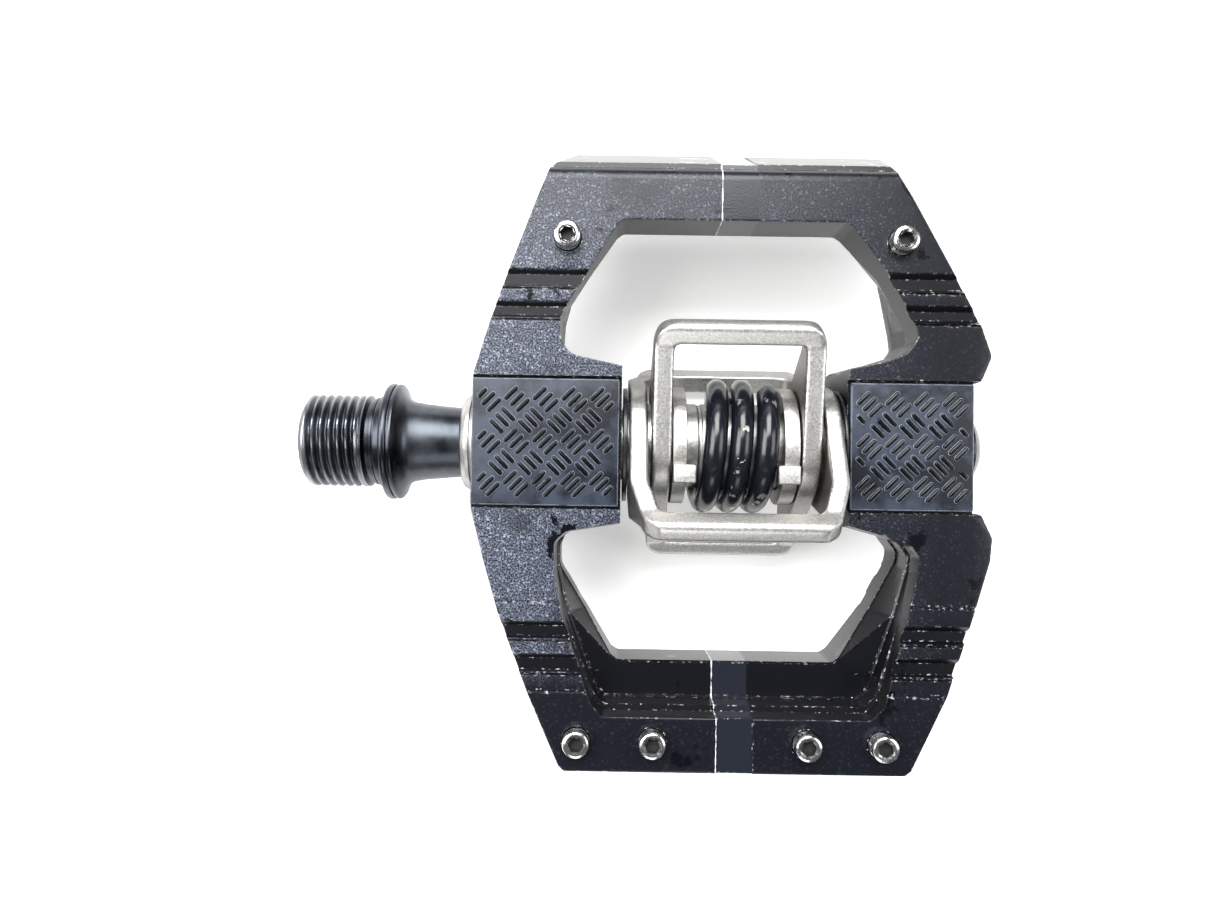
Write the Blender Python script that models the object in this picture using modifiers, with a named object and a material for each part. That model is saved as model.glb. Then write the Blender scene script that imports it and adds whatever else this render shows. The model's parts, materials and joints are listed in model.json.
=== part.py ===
# Double-sided clipless trail pedal: a platform frame that spins on a threaded spindle,
# with two sprung wings, crossed at a right angle, that catch the cleat from either side.
# The platform and the wings read the same after half a turn about the spindle axis.
# Frame: +X along the spindle, away from the crank; +Z up; the origin is on the spindle axis.

import math

import bmesh
import bpy
from mathutils import Matrix, Vector

MM = 0.001

# Overall
PLATFORM_X = 13.175        # platform centre, measured from the origin along the spindle
HALF_THICK = 8.0           # frame half thickness
GAP = 0.3                  # clearance kept between neighbouring solids
SEGMENTS = 36              # steps round a turned part

# Spindle, along X from the platform centre
THREAD_END = -64.9
CRANK_FACE = -52.3
THREAD_R = 7.145           # 9/16 in major diameter
RELIEF_R = 6.3
FLANGE_R = 9.0
FLANGE_END = -50.2
NECK_R = 6.25
SEAL_SEAT_R = 5.3
JOURNAL_START = -36.0
JOURNAL_R = 4.5
BEARING_SEAT_R = 2.5
BEARING_X = 22.6
NUT_THREAD_R = 2.2
SPINDLE_END = 31.2
HEX_SOCKET = 8.0           # across flats, in the threaded end
HEX_SOCKET_DEPTH = 7.0

# Boss bars of the frame
BOSS_IN = -16.4            # inner end face, crank side
BOSS_OUT = 17.2            # inner end face, outboard side
FRAME_LEFT = -38.65
FRAME_RIGHT = 35.9
BORE_R = 5.6
SEAL_BORE_R = 6.4
SEAL_BORE_END = -36.1

# Traction pads
PAD_HALF_Y = 9.4
PAD_TOP = 7.9
PAD_FLOOR = 6.7
PAD_SPANS = (("inboard", -38.55, -16.9), ("outboard", 17.5, 35.6))

# Traction pins, six on each side
PIN_R = 2.0
PIN_TOP = 10.4
PIN_BOTTOM = 4.3
PIN_SPOTS = ((-22.4, -43.8), (-11.3, -43.8), (11.3, -43.8), (22.4, -43.8), (-24.8, 30.4), (24.8, 30.4))

# Wings
WING_R = 19.87             # spindle axis to the middle of a bar
WING_HUB_R = 9.2
WING_BORE_R = 6.85
# Seen flat, a wing is a frame: outer and inner corners as (distance from its middle, distance from the axis)
INNER_WING = {"angle": 35.4, "middle": 0.55, "bar": 3.1,
              "corners": ((12.5, 18.4), (11.7, 20.4), (10.2, 21.35), (9.3, 21.7)),
              "window": ((9.6, 17.6), (8.8, 18.45))}
OUTER_WING = {"angle": 126.8, "middle": 0.5, "bar": 3.2,
              "corners": ((15.75, 13.6), (13.7, 19.8), (13.1, 20.7), (11.7, 21.5), (11.2, 21.75)),
              "window": ((13.05, 13.6), (11.5, 17.6), (10.7, 18.4))}

# Sleeve, spring and stop collars between the bosses
SLEEVE_R = 6.5
SPRING_R = 8.7
SPRING_WIRE_R = 1.55
SPRING_START = -4.55
SPRING_START_ANGLE = 275.0
SPRING_PITCH = 3.8
SPRING_TURNS = 2.7
COLLARS = (("inboard", -8.8, -6.7, -5.4), ("outboard", 7.6, 9.9, 6.6))  # end, left, right, tab reach
COLLAR_R = 9.0

# Outlines of the top face, (x, y) from the platform centre, listed from the crank side outwards
RIM_BACK = [(FRAME_LEFT, 9.75), (-36.2, 17.9), (-33.7, 25.1), (-29.2, 37.2), (-27.7, 40.9), (-26.9, 41.5),
            (23.2, 41.5), (24.1, 40.8), (26.4, 37.2), (32.7, 25.9), (36.9, 17.9), (38.4, 13.6),
            (36.8, 9.75), (FRAME_RIGHT, 9.7)]
RIM_FRONT = [(FRAME_LEFT, -9.75), (-36.6, -17.6), (-34.4, -25.1), (-29.7, -37.2), (-25.0, -47.7),
             (-24.2, -48.4), (25.9, -48.4), (26.9, -47.6), (32.1, -36.7), (35.9, -24.8), (38.3, -16.6),
             (38.6, -13.3), (36.9, -9.75), (FRAME_RIGHT, -9.7)]
NARROW = [(BOSS_IN, 11.5), (-24.4, 13.2), (-25.7, 15.9), (-25.7, 18.9), (-21.6, 25.6), (-17.4, 32.5),
          (-16.4, 33.2), (16.6, 33.2), (17.7, 32.5), (22.9, 25.6), (27.1, 17.9), (27.3, 16.2),
          (25.6, 13.9), (22.2, 12.6), (BOSS_OUT, 11.5)]
WIDE = [(BOSS_IN, 11.8), (-24.4, 13.2), (-26.1, 14.8), (-26.0, 18.9), (-24.8, 25.6), (-20.4, 38.3),
        (-18.6, 40.2), (20.8, 40.2), (22.7, 38.3), (26.0, 25.6), (27.4, 18.6), (27.7, 16.2),
        (26.4, 14.4), (22.2, 13.1), (BOSS_OUT, 11.8)]
SHELF_Z = 1.0              # height of the shelf where the end bar steps from narrow to wide
SHELF_EDGE = 38.8          # the wide wall's y at the shelf
GROOVES = ((18.0, 20.8), (22.6, 25.4), (-29.2, -26.2), (-34.4, -31.3))
GROOVE_DEPTH = 1.0

FINISHES = {
    "anodised_aluminium": ((0.020, 0.022, 0.032), 0.85, 0.42),
    "pad_plastic": ((0.045, 0.050, 0.058), 0.0, 0.40),
    "polished_steel": ((0.30, 0.30, 0.31), 1.0, 0.25),
    "blasted_stainless": ((0.72, 0.71, 0.68), 1.0, 0.38),
    "pin_steel": ((0.62, 0.63, 0.64), 1.0, 0.28),
    "spring_paint": ((0.015, 0.017, 0.022), 0.1, 0.18),
    "black_plastic": ((0.015, 0.015, 0.016), 0.0, 0.35),
    "rubber": ((0.02, 0.02, 0.02), 0.0, 0.75),
    "bearing_steel": ((0.55, 0.56, 0.58), 1.0, 0.22),
    "bronze": ((0.55, 0.38, 0.20), 1.0, 0.35),
}


# ---- scene and helpers

for old in list(bpy.data.objects):
    bpy.data.objects.remove(old, do_unlink=True)

parts = bpy.data.collections.new("clipless_pedal")
cutters = bpy.data.collections.new("cutters")
bpy.context.scene.collection.children.link(parts)
bpy.context.scene.collection.children.link(cutters)


def axis_empty(name):
    empty = bpy.data.objects.new(name, None)
    empty.location = (PLATFORM_X * MM, 0, 0)
    empty.empty_display_size = 10 * MM
    parts.objects.link(empty)
    return empty


spindle_axis = axis_empty("spindle_axis")
platform_axis = axis_empty("platform_axis")
inner_wing_axis = axis_empty("inner_wing_axis")
outer_wing_axis = axis_empty("outer_wing_axis")


def finish_material(finish):
    material = bpy.data.materials.get(finish)
    if material:
        return material
    colour, metallic, roughness = FINISHES[finish]
    material = bpy.data.materials.new(finish)
    material.use_nodes = True
    shader = material.node_tree.nodes["Principled BSDF"]
    shader.inputs["Base Color"].default_value = (*colour, 1.0)
    shader.inputs["Metallic"].default_value = metallic
    shader.inputs["Roughness"].default_value = roughness
    material.diffuse_color = (*colour, 1.0)
    return material


def add_object(name, data, finish, parent):
    obj = bpy.data.objects.new(name, data)
    if finish is None:
        cutters.objects.link(obj)
        obj.hide_render = True
        obj.display_type = "WIRE"
    else:
        parts.objects.link(obj)
        if not data.materials:
            data.materials.append(finish_material(finish))
    obj.parent = parent
    return obj


def mesh_object(name, bm, finish, parent):
    bmesh.ops.recalc_face_normals(bm, faces=bm.faces)
    mesh = bpy.data.meshes.new(name)
    bm.to_mesh(mesh)
    bm.free()
    return add_object(name, mesh, finish, parent)


def turned(name, profile, finish, parent, steps=SEGMENTS):
    # A profile of (x, radius) points turned about the spindle axis.
    area = sum(x0 * r1 - x1 * r0 for (x0, r0), (x1, r1) in zip(profile, profile[1:] + profile[:1]))
    if area > 0:
        profile = profile[::-1]
    solid = profile[0][1] == 0 or profile[-1][1] == 0
    mesh = bpy.data.meshes.new(name)
    edges = [(i, i + 1) for i in range(len(profile) - 1)]
    if not solid:
        edges.append((len(profile) - 1, 0))
    mesh.from_pydata([(x * MM, r * MM, 0) for x, r in profile], edges, [])
    obj = add_object(name, mesh, finish, parent)
    screw = obj.modifiers.new("turn", "SCREW")
    screw.axis = "X"
    screw.steps = steps
    screw.render_steps = steps
    screw.use_merge_vertices = True
    screw.merge_threshold = 0.00001
    screw.use_smooth_shade = True
    screw.use_normal_flip = not solid
    return obj


def ring_profile(x0, x1, r_in, r_out, edge=0.0):
    if not edge:
        return [(x0, r_in), (x0, r_out), (x1, r_out), (x1, r_in)]
    return [(x0, r_in), (x0, r_out - edge), (x0 + edge, r_out), (x1 - edge, r_out), (x1, r_out - edge),
            (x1, r_in)]


def loft(name, rings, finish, parent):
    # Skins closed rings of equal length, lowest first, and caps both ends.
    bm = bmesh.new()
    loops = [[bm.verts.new(Vector(point) * MM) for point in ring] for ring in rings]
    for low, high in zip(loops, loops[1:]):
        for i in range(len(low)):
            j = (i + 1) % len(low)
            bm.faces.new((low[i], low[j], high[j], high[i]))
    bm.faces.new(loops[0][::-1])
    bm.faces.new(loops[-1])
    return mesh_object(name, bm, finish, parent)


def at_height(outline, z):
    return [(x, y, z) for x, y in outline]


def blend_outlines(first, second, share):
    return [(x0 + (x1 - x0) * share, y0 + (y1 - y0) * share)
            for (x0, y0), (x1, y1) in zip(first, second)]


def add_box(bm, low, high, turn=Matrix.Identity(4)):
    centre = [(a + b) / 2 * MM for a, b in zip(low, high)]
    size = [(b - a) * MM for a, b in zip(low, high)]
    place = turn @ Matrix.Translation(centre) @ Matrix.Diagonal((*size, 1.0))
    bmesh.ops.create_cube(bm, size=1.0, matrix=place)


def add_rod(bm, axis, start, end, radius, segments, centre=(0.0, 0.0)):
    # A cylinder or prism along X or Z; centre gives its other two coordinates.
    middle = (start + end) / 2
    if axis == "X":
        place = Matrix.Translation(Vector((middle, *centre)) * MM) @ Matrix.Rotation(math.pi / 2, 4, "Y")
    else:
        place = Matrix.Translation(Vector((*centre, middle)) * MM)
    bmesh.ops.create_cone(bm, cap_ends=True, segments=segments, radius1=radius * MM, radius2=radius * MM,
                          depth=abs(end - start) * MM, matrix=place)


def hex_radius(across_flats):
    return across_flats / 2 / math.cos(math.pi / 6)


def boolean(obj, cutter, operation="DIFFERENCE"):
    modifier = obj.modifiers.new(cutter.name, "BOOLEAN")
    modifier.operation = operation
    modifier.solver = "EXACT"
    modifier.object = cutter


def bevel(obj, width, segments=1, angle=30.0):
    modifier = obj.modifiers.new("bevel", "BEVEL")
    modifier.width = width * MM
    modifier.segments = segments
    modifier.limit_method = "ANGLE"
    modifier.angle_limit = math.radians(angle)


def baked_mesh(obj):
    # The evaluated shape as a plain mesh, for copies that share it.
    depsgraph = bpy.context.evaluated_depsgraph_get()
    mesh = bpy.data.meshes.new_from_object(obj.evaluated_get(depsgraph))
    bpy.data.objects.remove(obj)
    return mesh


# ---- spindle group

def make_spindle():
    profile = [(THREAD_END, 0), (THREAD_END, THREAD_R - 0.9), (THREAD_END + 0.9, THREAD_R),
               (CRANK_FACE - 2.8, THREAD_R), (CRANK_FACE - 2.5, RELIEF_R), (CRANK_FACE - 2.1, RELIEF_R),
               (CRANK_FACE - 1.9, RELIEF_R + 0.6), (CRANK_FACE - 0.4, RELIEF_R + 0.6),
               (CRANK_FACE, THREAD_R + 0.2),
               (CRANK_FACE, FLANGE_R - 0.3), (CRANK_FACE + 0.3, FLANGE_R), (FLANGE_END - 0.4, FLANGE_R),
               (FLANGE_END, FLANGE_R - 0.4), (FLANGE_END + 0.7, NECK_R + 0.5), (FLANGE_END + 1.5, NECK_R),
               (FLANGE_END + 3.6, NECK_R - 0.5), (-40.9, SEAL_SEAT_R + 0.1),
               (JOURNAL_START - 0.4, SEAL_SEAT_R), (JOURNAL_START, JOURNAL_R),
               (BEARING_X - 2.2, JOURNAL_R), (BEARING_X - GAP, BEARING_SEAT_R + 0.6),
               (BEARING_X - GAP, BEARING_SEAT_R), (BEARING_X + 4.2, BEARING_SEAT_R),
               (BEARING_X + 4.4, NUT_THREAD_R), (SPINDLE_END - 0.4, NUT_THREAD_R),
               (SPINDLE_END, NUT_THREAD_R - 0.4), (SPINDLE_END, 0)]
    spindle = turned("spindle", profile, "polished_steel", spindle_axis)
    bm = bmesh.new()
    add_rod(bm, "X", THREAD_END - 1, THREAD_END + HEX_SOCKET_DEPTH, hex_radius(HEX_SOCKET), 6)
    boolean(spindle, mesh_object("spindle_socket_cutter", bm, None, spindle_axis))


def make_bearing():
    left, right = BEARING_X, BEARING_X + 4.0
    turned("bearing_inner_ring", ring_profile(left, right, BEARING_SEAT_R + 0.15, 3.25), "bearing_steel",
           spindle_axis, 24)
    turned("bearing_outer_ring", ring_profile(left, right, 4.8, BORE_R - 0.15, 0.2), "bearing_steel",
           platform_axis, 32)
    cage = turned("bearing_ball_cage", ring_profile(left + 1.2, right - 1.2, 3.75, 4.3), "bronze",
                  platform_axis, 24)
    bm = bmesh.new()
    balls = 8
    for ball in range(balls):
        angle = 2 * math.pi * ball / balls
        centre = Vector((left + 2.0, 4.02 * math.cos(angle), 4.02 * math.sin(angle))) * MM
        bmesh.ops.create_uvsphere(bm, u_segments=8, v_segments=6, radius=0.62 * MM,
                                  matrix=Matrix.Translation(centre))
    boolean(cage, mesh_object("bearing_ball_union", bm, None, platform_axis), "UNION")
    for side, x in (("inner", left), ("outer", right - 0.35)):
        turned("bearing_shield_" + side, ring_profile(x, x + 0.35, 3.45, 4.6), "rubber", platform_axis, 24)


def make_spindle_nut():
    left = BEARING_X + 4.2
    turned("thrust_washer", ring_profile(left, left + 0.6, BEARING_SEAT_R + 0.15, 3.4), "bearing_steel",
           spindle_axis, 24)
    bm = bmesh.new()
    add_rod(bm, "X", left + 0.8, left + 4.0, hex_radius(8.0), 6)
    nut = mesh_object("lock_nut", bm, "bearing_steel", spindle_axis)
    bm = bmesh.new()
    add_rod(bm, "X", left, left + 5.0, NUT_THREAD_R + 0.2, 24)
    boolean(nut, mesh_object("nut_bore_cutter", bm, None, spindle_axis))


# ---- platform group

def window_rings():
    # The window narrows from wide at its lower face to narrow at its upper face; its end bar
    # steps once, at the shelf, while its side arms slope all the way.
    low, high = -HALF_THICK - 0.6, HALF_THICK + 0.6
    share = (HALF_THICK - SHELF_Z) / (2 * HALF_THICK)
    sloped = blend_outlines(WIDE, NARROW, share)
    bar = range(5, 9)
    above_shelf = [(NARROW[i] if i in bar else point) for i, point in enumerate(sloped)]
    trim = SHELF_EDGE - WIDE[6][1]
    below_shelf = [((WIDE[i][0], WIDE[i][1] + trim) if i in bar else point) for i, point in enumerate(sloped)]
    return [at_height(WIDE, low), at_height(WIDE, -HALF_THICK), at_height(below_shelf, -SHELF_Z),
            at_height(above_shelf, -SHELF_Z + 0.05), at_height(NARROW, HALF_THICK), at_height(NARROW, high)]


def make_frame():
    def mirrored(outline):
        return [(x, -y) for x, y in outline]

    top = RIM_BACK + RIM_FRONT[::-1]
    bottom = mirrored(RIM_FRONT) + mirrored(RIM_BACK)[::-1]
    frame = loft("platform_frame", [at_height(bottom, -HALF_THICK), at_height(top, HALF_THICK)],
                 "anodised_aluminium", platform_axis)
    bevel(frame, 0.6)

    window = loft("back_window_cutter", window_rings(), None, platform_axis)
    boolean(frame, window)
    front_window = add_object("front_window_cutter", window.data, None, platform_axis)
    front_window.rotation_euler.x = math.pi
    boolean(frame, front_window)

    bm = bmesh.new()
    add_box(bm, (BOSS_IN, -12.5, -HALF_THICK - 1), (BOSS_OUT, 12.5, HALF_THICK + 1))
    boolean(frame, mesh_object("hub_opening_cutter", bm, None, platform_axis))

    bm = bmesh.new()
    half_turn = Matrix.Rotation(math.pi, 4, "X")
    for turn in (Matrix.Identity(4), half_turn):
        add_box(bm, (FRAME_LEFT - 1, -PAD_HALF_Y - GAP, PAD_FLOOR), (BOSS_IN + 1, PAD_HALF_Y + GAP, 9), turn)
        add_box(bm, (BOSS_OUT - 1, -PAD_HALF_Y - GAP, PAD_FLOOR), (FRAME_RIGHT + 1, PAD_HALF_Y + GAP, 9),
                turn)
        for y0, y1 in GROOVES:
            add_box(bm, (-45, y0, HALF_THICK - GROOVE_DEPTH), (45, y1, 9), turn)
        for x, y in PIN_SPOTS:
            place = turn @ Matrix.Translation(Vector((x, y, PIN_BOTTOM - GAP + 3)) * MM)
            bmesh.ops.create_cone(bm, cap_ends=True, segments=20, radius1=(PIN_R + 0.2) * MM,
                                  radius2=(PIN_R + 0.2) * MM, depth=6 * MM, matrix=place)
    boolean(frame, mesh_object("pad_groove_pin_cutter", bm, None, platform_axis))

    bm = bmesh.new()
    add_rod(bm, "X", FRAME_LEFT - 2, FRAME_RIGHT + 2, BORE_R, 32)
    boolean(frame, mesh_object("bore_cutter", bm, None, platform_axis))
    bm = bmesh.new()
    add_rod(bm, "X", FRAME_LEFT - 2, SEAL_BORE_END, SEAL_BORE_R, 32)
    boolean(frame, mesh_object("seal_bore_cutter", bm, None, platform_axis))


def make_pads():
    for side, turn in (("top", 0.0), ("bottom", math.pi)):
        for end, left, right in PAD_SPANS:
            bm = bmesh.new()
            add_box(bm, (left, -PAD_HALF_Y, PAD_FLOOR + 0.25), (right, PAD_HALF_Y, PAD_TOP))
            pad = mesh_object("traction_pad_" + side + "_" + end, bm, "pad_plastic", platform_axis)
            pad.rotation_euler.x = turn
            bevel(pad, 0.3, 2)


def make_pins():
    profile = [(PIN_BOTTOM, 0), (PIN_BOTTOM, PIN_R - 0.4), (PIN_BOTTOM + 0.4, PIN_R), (PIN_TOP - 0.3, PIN_R),
               (PIN_TOP, PIN_R - 0.3), (PIN_TOP, 0)]
    pin = turned("pin_pattern", profile, "pin_steel", None, 20)
    bm = bmesh.new()
    add_rod(bm, "X", PIN_TOP - 1.5, PIN_TOP + 1, hex_radius(2.0), 6)
    boolean(pin, mesh_object("pin_socket_cutter", bm, None, None))
    bpy.context.view_layer.update()
    mesh = baked_mesh(pin)
    mesh.transform(Matrix.Rotation(-math.pi / 2, 4, "Y"))
    for side, turn in (("top", 0.0), ("bottom", math.pi)):
        for number, (x, y) in enumerate(PIN_SPOTS, start=1):
            stud = add_object(f"traction_pin_{side}_{number}", mesh, "pin_steel", platform_axis)
            stud.rotation_euler.x = turn
            stud.location = Matrix.Rotation(turn, 3, "X") @ Vector((x, y, 0)) * MM


def make_seals_and_bushes():
    turned("inboard_seal", [(-40.7, SEAL_SEAT_R + 0.4), (-40.7, 6.4), (-40.35, 7.05), (-39.7, 7.35),
                            (FRAME_LEFT - GAP, 7.35), (FRAME_LEFT - GAP, SEAL_BORE_R - 0.2),
                            (SEAL_BORE_END - GAP, SEAL_BORE_R - 0.2),
                            (SEAL_BORE_END - GAP, SEAL_SEAT_R + 0.4)], "blasted_stainless", platform_axis)
    turned("glide_bushing", ring_profile(JOURNAL_START + 0.4, -24.0, JOURNAL_R + 0.15, BORE_R - 0.15, 0.2),
           "black_plastic", platform_axis, 32)
    turned("inner_lip_seal", ring_profile(-23.7, -22.0, JOURNAL_R + 0.15, BORE_R - 0.15, 0.3), "rubber",
           platform_axis, 32)
    left = FRAME_RIGHT
    turned("end_cap", [(31.9, 0), (31.9, BORE_R - 0.35), (32.1, BORE_R - 0.15), (33.2, BORE_R - 0.15),
                       (33.2, 4.7), (34.4, 4.7), (34.4, BORE_R - 0.15), (left + 0.25, BORE_R - 0.15),
                       (left + 0.25, 6.0), (left + 0.9, 5.9), (left + 1.7, 4.9), (left + 2.3, 3.5),
                       (left + 2.6, 1.8), (left + 2.6, 0)], "black_plastic", platform_axis)
    bm = bmesh.new()
    add_rod(bm, "X", 34.2, left + 4, hex_radius(5.0), 6)
    boolean(bpy.data.objects["end_cap"], mesh_object("cap_socket_cutter", bm, None, platform_axis))
    turned("end_cap_oring", [(33.8 + 0.45 * math.cos(a), 5.22 + 0.32 * math.sin(a))
                             for a in (math.radians(45 * k) for k in range(8))], "rubber", platform_axis, 24)


# ---- wing group

def wing_side_outline(angle, hub, half):
    # Hub disc with a tapering arm to each squared bar, as (y, z) points round the spindle axis.
    points = []
    inner, end = WING_R - half, WING_R + half
    lean = math.atan2(half, inner) + math.acos(hub / math.hypot(inner, half))
    for arm in (0.0, math.pi):
        start = math.radians(angle) + arm
        along = Vector((math.cos(start), math.sin(start)))
        across = Vector((-math.sin(start), math.cos(start)))
        for r, w in ((inner, -half), (end - 0.9, -half), (end - 0.25, 0.25 - half), (end, 0.9 - half),
                     (end, half - 0.9), (end - 0.25, half - 0.25), (end - 0.9, half), (inner, half)):
            points.append(along * r + across * w)
        for step in range(7):
            turn = start + lean + (math.pi - 2 * lean) * step / 6
            points.append(Vector((math.cos(turn), math.sin(turn))) * hub)
    return points


def wing_cutter(name, corners, size, axis):
    # A prism square to the wing's flat, from one end's corners and their mirror images.
    right = [(size["middle"] + x, r) for x, r in corners]
    left = [(size["middle"] - x, r) for x, r in corners]
    outline = right + left[::-1] + [(x, -r) for x, r in left] + [(x, -r) for x, r in right[::-1]]
    angle = math.radians(size["angle"])
    rings = [[(x, r * math.cos(angle) - h * math.sin(angle), r * math.sin(angle) + h * math.cos(angle))
              for x, r in outline] for h in (-12.0, 12.0)]
    return loft(name, rings, None, axis)


def make_wing(name, size, axis):
    widest = size["corners"][0][0] + 0.5
    ends = [size["middle"] + side * widest for side in (-1, 1)]
    outline = wing_side_outline(size["angle"], WING_HUB_R, size["bar"] / 2)
    wing = loft(name, [[(x, p.x, p.y) for p in outline] for x in ends], "blasted_stainless", axis)
    boolean(wing, wing_cutter(name + "_flat_cutter", size["corners"], size, axis), "INTERSECT")
    boolean(wing, wing_cutter(name + "_window_cutter", size["window"], size, axis))
    bm = bmesh.new()
    add_rod(bm, "X", ends[0] - 1, ends[1] + 1, WING_BORE_R, 32)
    boolean(wing, mesh_object(name + "_bore_cutter", bm, None, axis))


def make_hub():
    turned("wing_sleeve", [(-19.5, JOURNAL_R + 0.5), (-19.5, BORE_R - 0.15), (BOSS_IN + GAP, BORE_R - 0.15),
                           (BOSS_IN + GAP, SLEEVE_R), (BOSS_OUT - GAP, SLEEVE_R),
                           (BOSS_OUT - GAP, BORE_R - 0.15), (20.2, BORE_R - 0.15), (20.2, JOURNAL_R + 0.5)],
           "blasted_stainless", platform_axis)
    turned("wing_washer_inboard", ring_profile(BOSS_IN + GAP, -15.5, WING_BORE_R, 8.8), "black_plastic",
           platform_axis)
    turned("wing_washer_outboard", ring_profile(16.6, BOSS_OUT - 0.15, WING_BORE_R, 8.8), "black_plastic",
           platform_axis)


def make_stop_collars():
    for end, left, right, tab in COLLARS:
        collar = turned("stop_collar_" + end, ring_profile(left, right, SLEEVE_R + 0.25, COLLAR_R, 0.3),
                        "blasted_stainless", platform_axis, 32)
        low, high = min(left, tab), max(right, tab)
        bm = bmesh.new()
        for turn in (0.0, math.pi):
            add_box(bm, (low, -5.8, 7.2), (high, -3.0, 9.6), Matrix.Rotation(turn, 4, "X"))
        tabs = mesh_object("collar_tab_union_" + end, bm, None, platform_axis)
        boolean(collar, tabs, "UNION")


def make_spring():
    steps_per_turn = 20
    count = int(SPRING_TURNS * steps_per_turn)
    curve = bpy.data.curves.new("torsion_spring", "CURVE")
    curve.dimensions = "3D"
    curve.bevel_depth = SPRING_WIRE_R * MM
    curve.bevel_resolution = 2
    curve.use_fill_caps = True
    spline = curve.splines.new("POLY")
    spline.points.add(count)
    start = math.radians(SPRING_START_ANGLE)
    for i in range(count + 1):
        turn = start - 2 * math.pi * i / steps_per_turn
        x = SPRING_START + SPRING_PITCH * i / steps_per_turn
        spline.points[i].co = (x * MM, SPRING_R * math.cos(turn) * MM, SPRING_R * math.sin(turn) * MM, 1.0)
    add_object("torsion_spring", curve, "spring_paint", inner_wing_axis)


make_spindle()
make_bearing()
make_spindle_nut()
make_frame()
make_pads()
make_pins()
make_seals_and_bushes()
make_wing("inner_wing", INNER_WING, inner_wing_axis)
make_wing("outer_wing", OUTER_WING, outer_wing_axis)
make_hub()
make_stop_collars()
make_spring()
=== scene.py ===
import json
import math

import bmesh
import bpy
from mathutils import Matrix, Vector


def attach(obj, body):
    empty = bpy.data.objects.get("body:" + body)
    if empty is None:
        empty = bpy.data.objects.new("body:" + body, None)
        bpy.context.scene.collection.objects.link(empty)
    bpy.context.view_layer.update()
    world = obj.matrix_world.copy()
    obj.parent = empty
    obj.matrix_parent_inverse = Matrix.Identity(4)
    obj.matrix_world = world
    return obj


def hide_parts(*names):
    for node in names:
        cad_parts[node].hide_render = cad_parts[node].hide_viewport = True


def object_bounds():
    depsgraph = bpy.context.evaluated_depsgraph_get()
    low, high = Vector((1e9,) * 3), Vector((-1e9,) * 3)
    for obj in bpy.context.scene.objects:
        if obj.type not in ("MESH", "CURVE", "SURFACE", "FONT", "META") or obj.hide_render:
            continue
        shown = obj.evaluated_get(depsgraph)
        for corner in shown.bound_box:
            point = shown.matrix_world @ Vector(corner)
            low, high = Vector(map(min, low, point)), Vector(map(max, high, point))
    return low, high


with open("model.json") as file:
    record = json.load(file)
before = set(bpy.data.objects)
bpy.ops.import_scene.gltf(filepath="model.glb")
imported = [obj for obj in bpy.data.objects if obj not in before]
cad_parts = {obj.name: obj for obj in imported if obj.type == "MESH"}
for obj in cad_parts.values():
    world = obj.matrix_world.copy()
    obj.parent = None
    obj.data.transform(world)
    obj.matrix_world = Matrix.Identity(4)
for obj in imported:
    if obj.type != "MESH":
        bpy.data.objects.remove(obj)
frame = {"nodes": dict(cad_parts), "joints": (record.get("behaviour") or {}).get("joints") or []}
cadLow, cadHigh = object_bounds()
mm = 0.001
axisX = next(joint["pos_m"][0] for joint in frame["joints"] if joint["name"] == "platform_spin")
toWorld = Matrix.Translation((axisX, 0, 0)) @ Matrix.Scale(mm, 4)
halfTurn = Matrix.Rotation(math.pi, 4, "X")


# Mesh helpers. Shapes are drawn in millimetres from the platform centre, then moved to world.

def newObject(name, mesh):
    obj = bpy.data.objects.new(name, mesh)
    bpy.context.scene.collection.objects.link(obj)
    return obj


def fromBmesh(name, bm, triangles=False):
    # Twisted quads are split before any cutting, so that a cut can't bend them.
    if triangles:
        bmesh.ops.triangulate(bm, faces=bm.faces)
    bmesh.ops.recalc_face_normals(bm, faces=bm.faces)
    mesh = bpy.data.meshes.new(name)
    bm.to_mesh(mesh)
    bm.free()
    return newObject(name, mesh)


def applyModifiers(obj):
    depsgraph = bpy.context.evaluated_depsgraph_get()
    mesh = bpy.data.meshes.new_from_object(obj.evaluated_get(depsgraph))
    obj.modifiers.clear()
    obj.data = mesh
    return obj


def combine(obj, tool, operation="DIFFERENCE"):
    modifier = obj.modifiers.new("cut", "BOOLEAN")
    modifier.operation = operation
    modifier.solver = "EXACT"
    modifier.object = tool
    bpy.context.view_layer.update()
    applyModifiers(obj)
    bpy.data.objects.remove(tool)
    bm = bmesh.new()
    bm.from_mesh(obj.data)
    bmesh.ops.remove_doubles(bm, verts=bm.verts, dist=0.003)
    bmesh.ops.dissolve_degenerate(bm, edges=bm.edges, dist=0.003)
    bmesh.ops.holes_fill(bm, edges=[edge for edge in bm.edges if edge.is_boundary], sides=0)
    bm.to_mesh(obj.data)
    bm.free()
    return obj


def finishPiece(obj, material, body, replaced=(), sharpAngle=32):
    # Places a drawn piece in the world and hands it to its body. No material keeps its own.
    obj.data.transform(toWorld)
    if material:
        obj.data.materials.clear()
        obj.data.materials.append(material)
    if sharpAngle:
        obj.data.shade_smooth()
        obj.data.set_sharp_from_angle(angle=math.radians(sharpAngle))
    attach(obj, body)
    if replaced:
        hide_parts(*replaced)
    return obj


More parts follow.
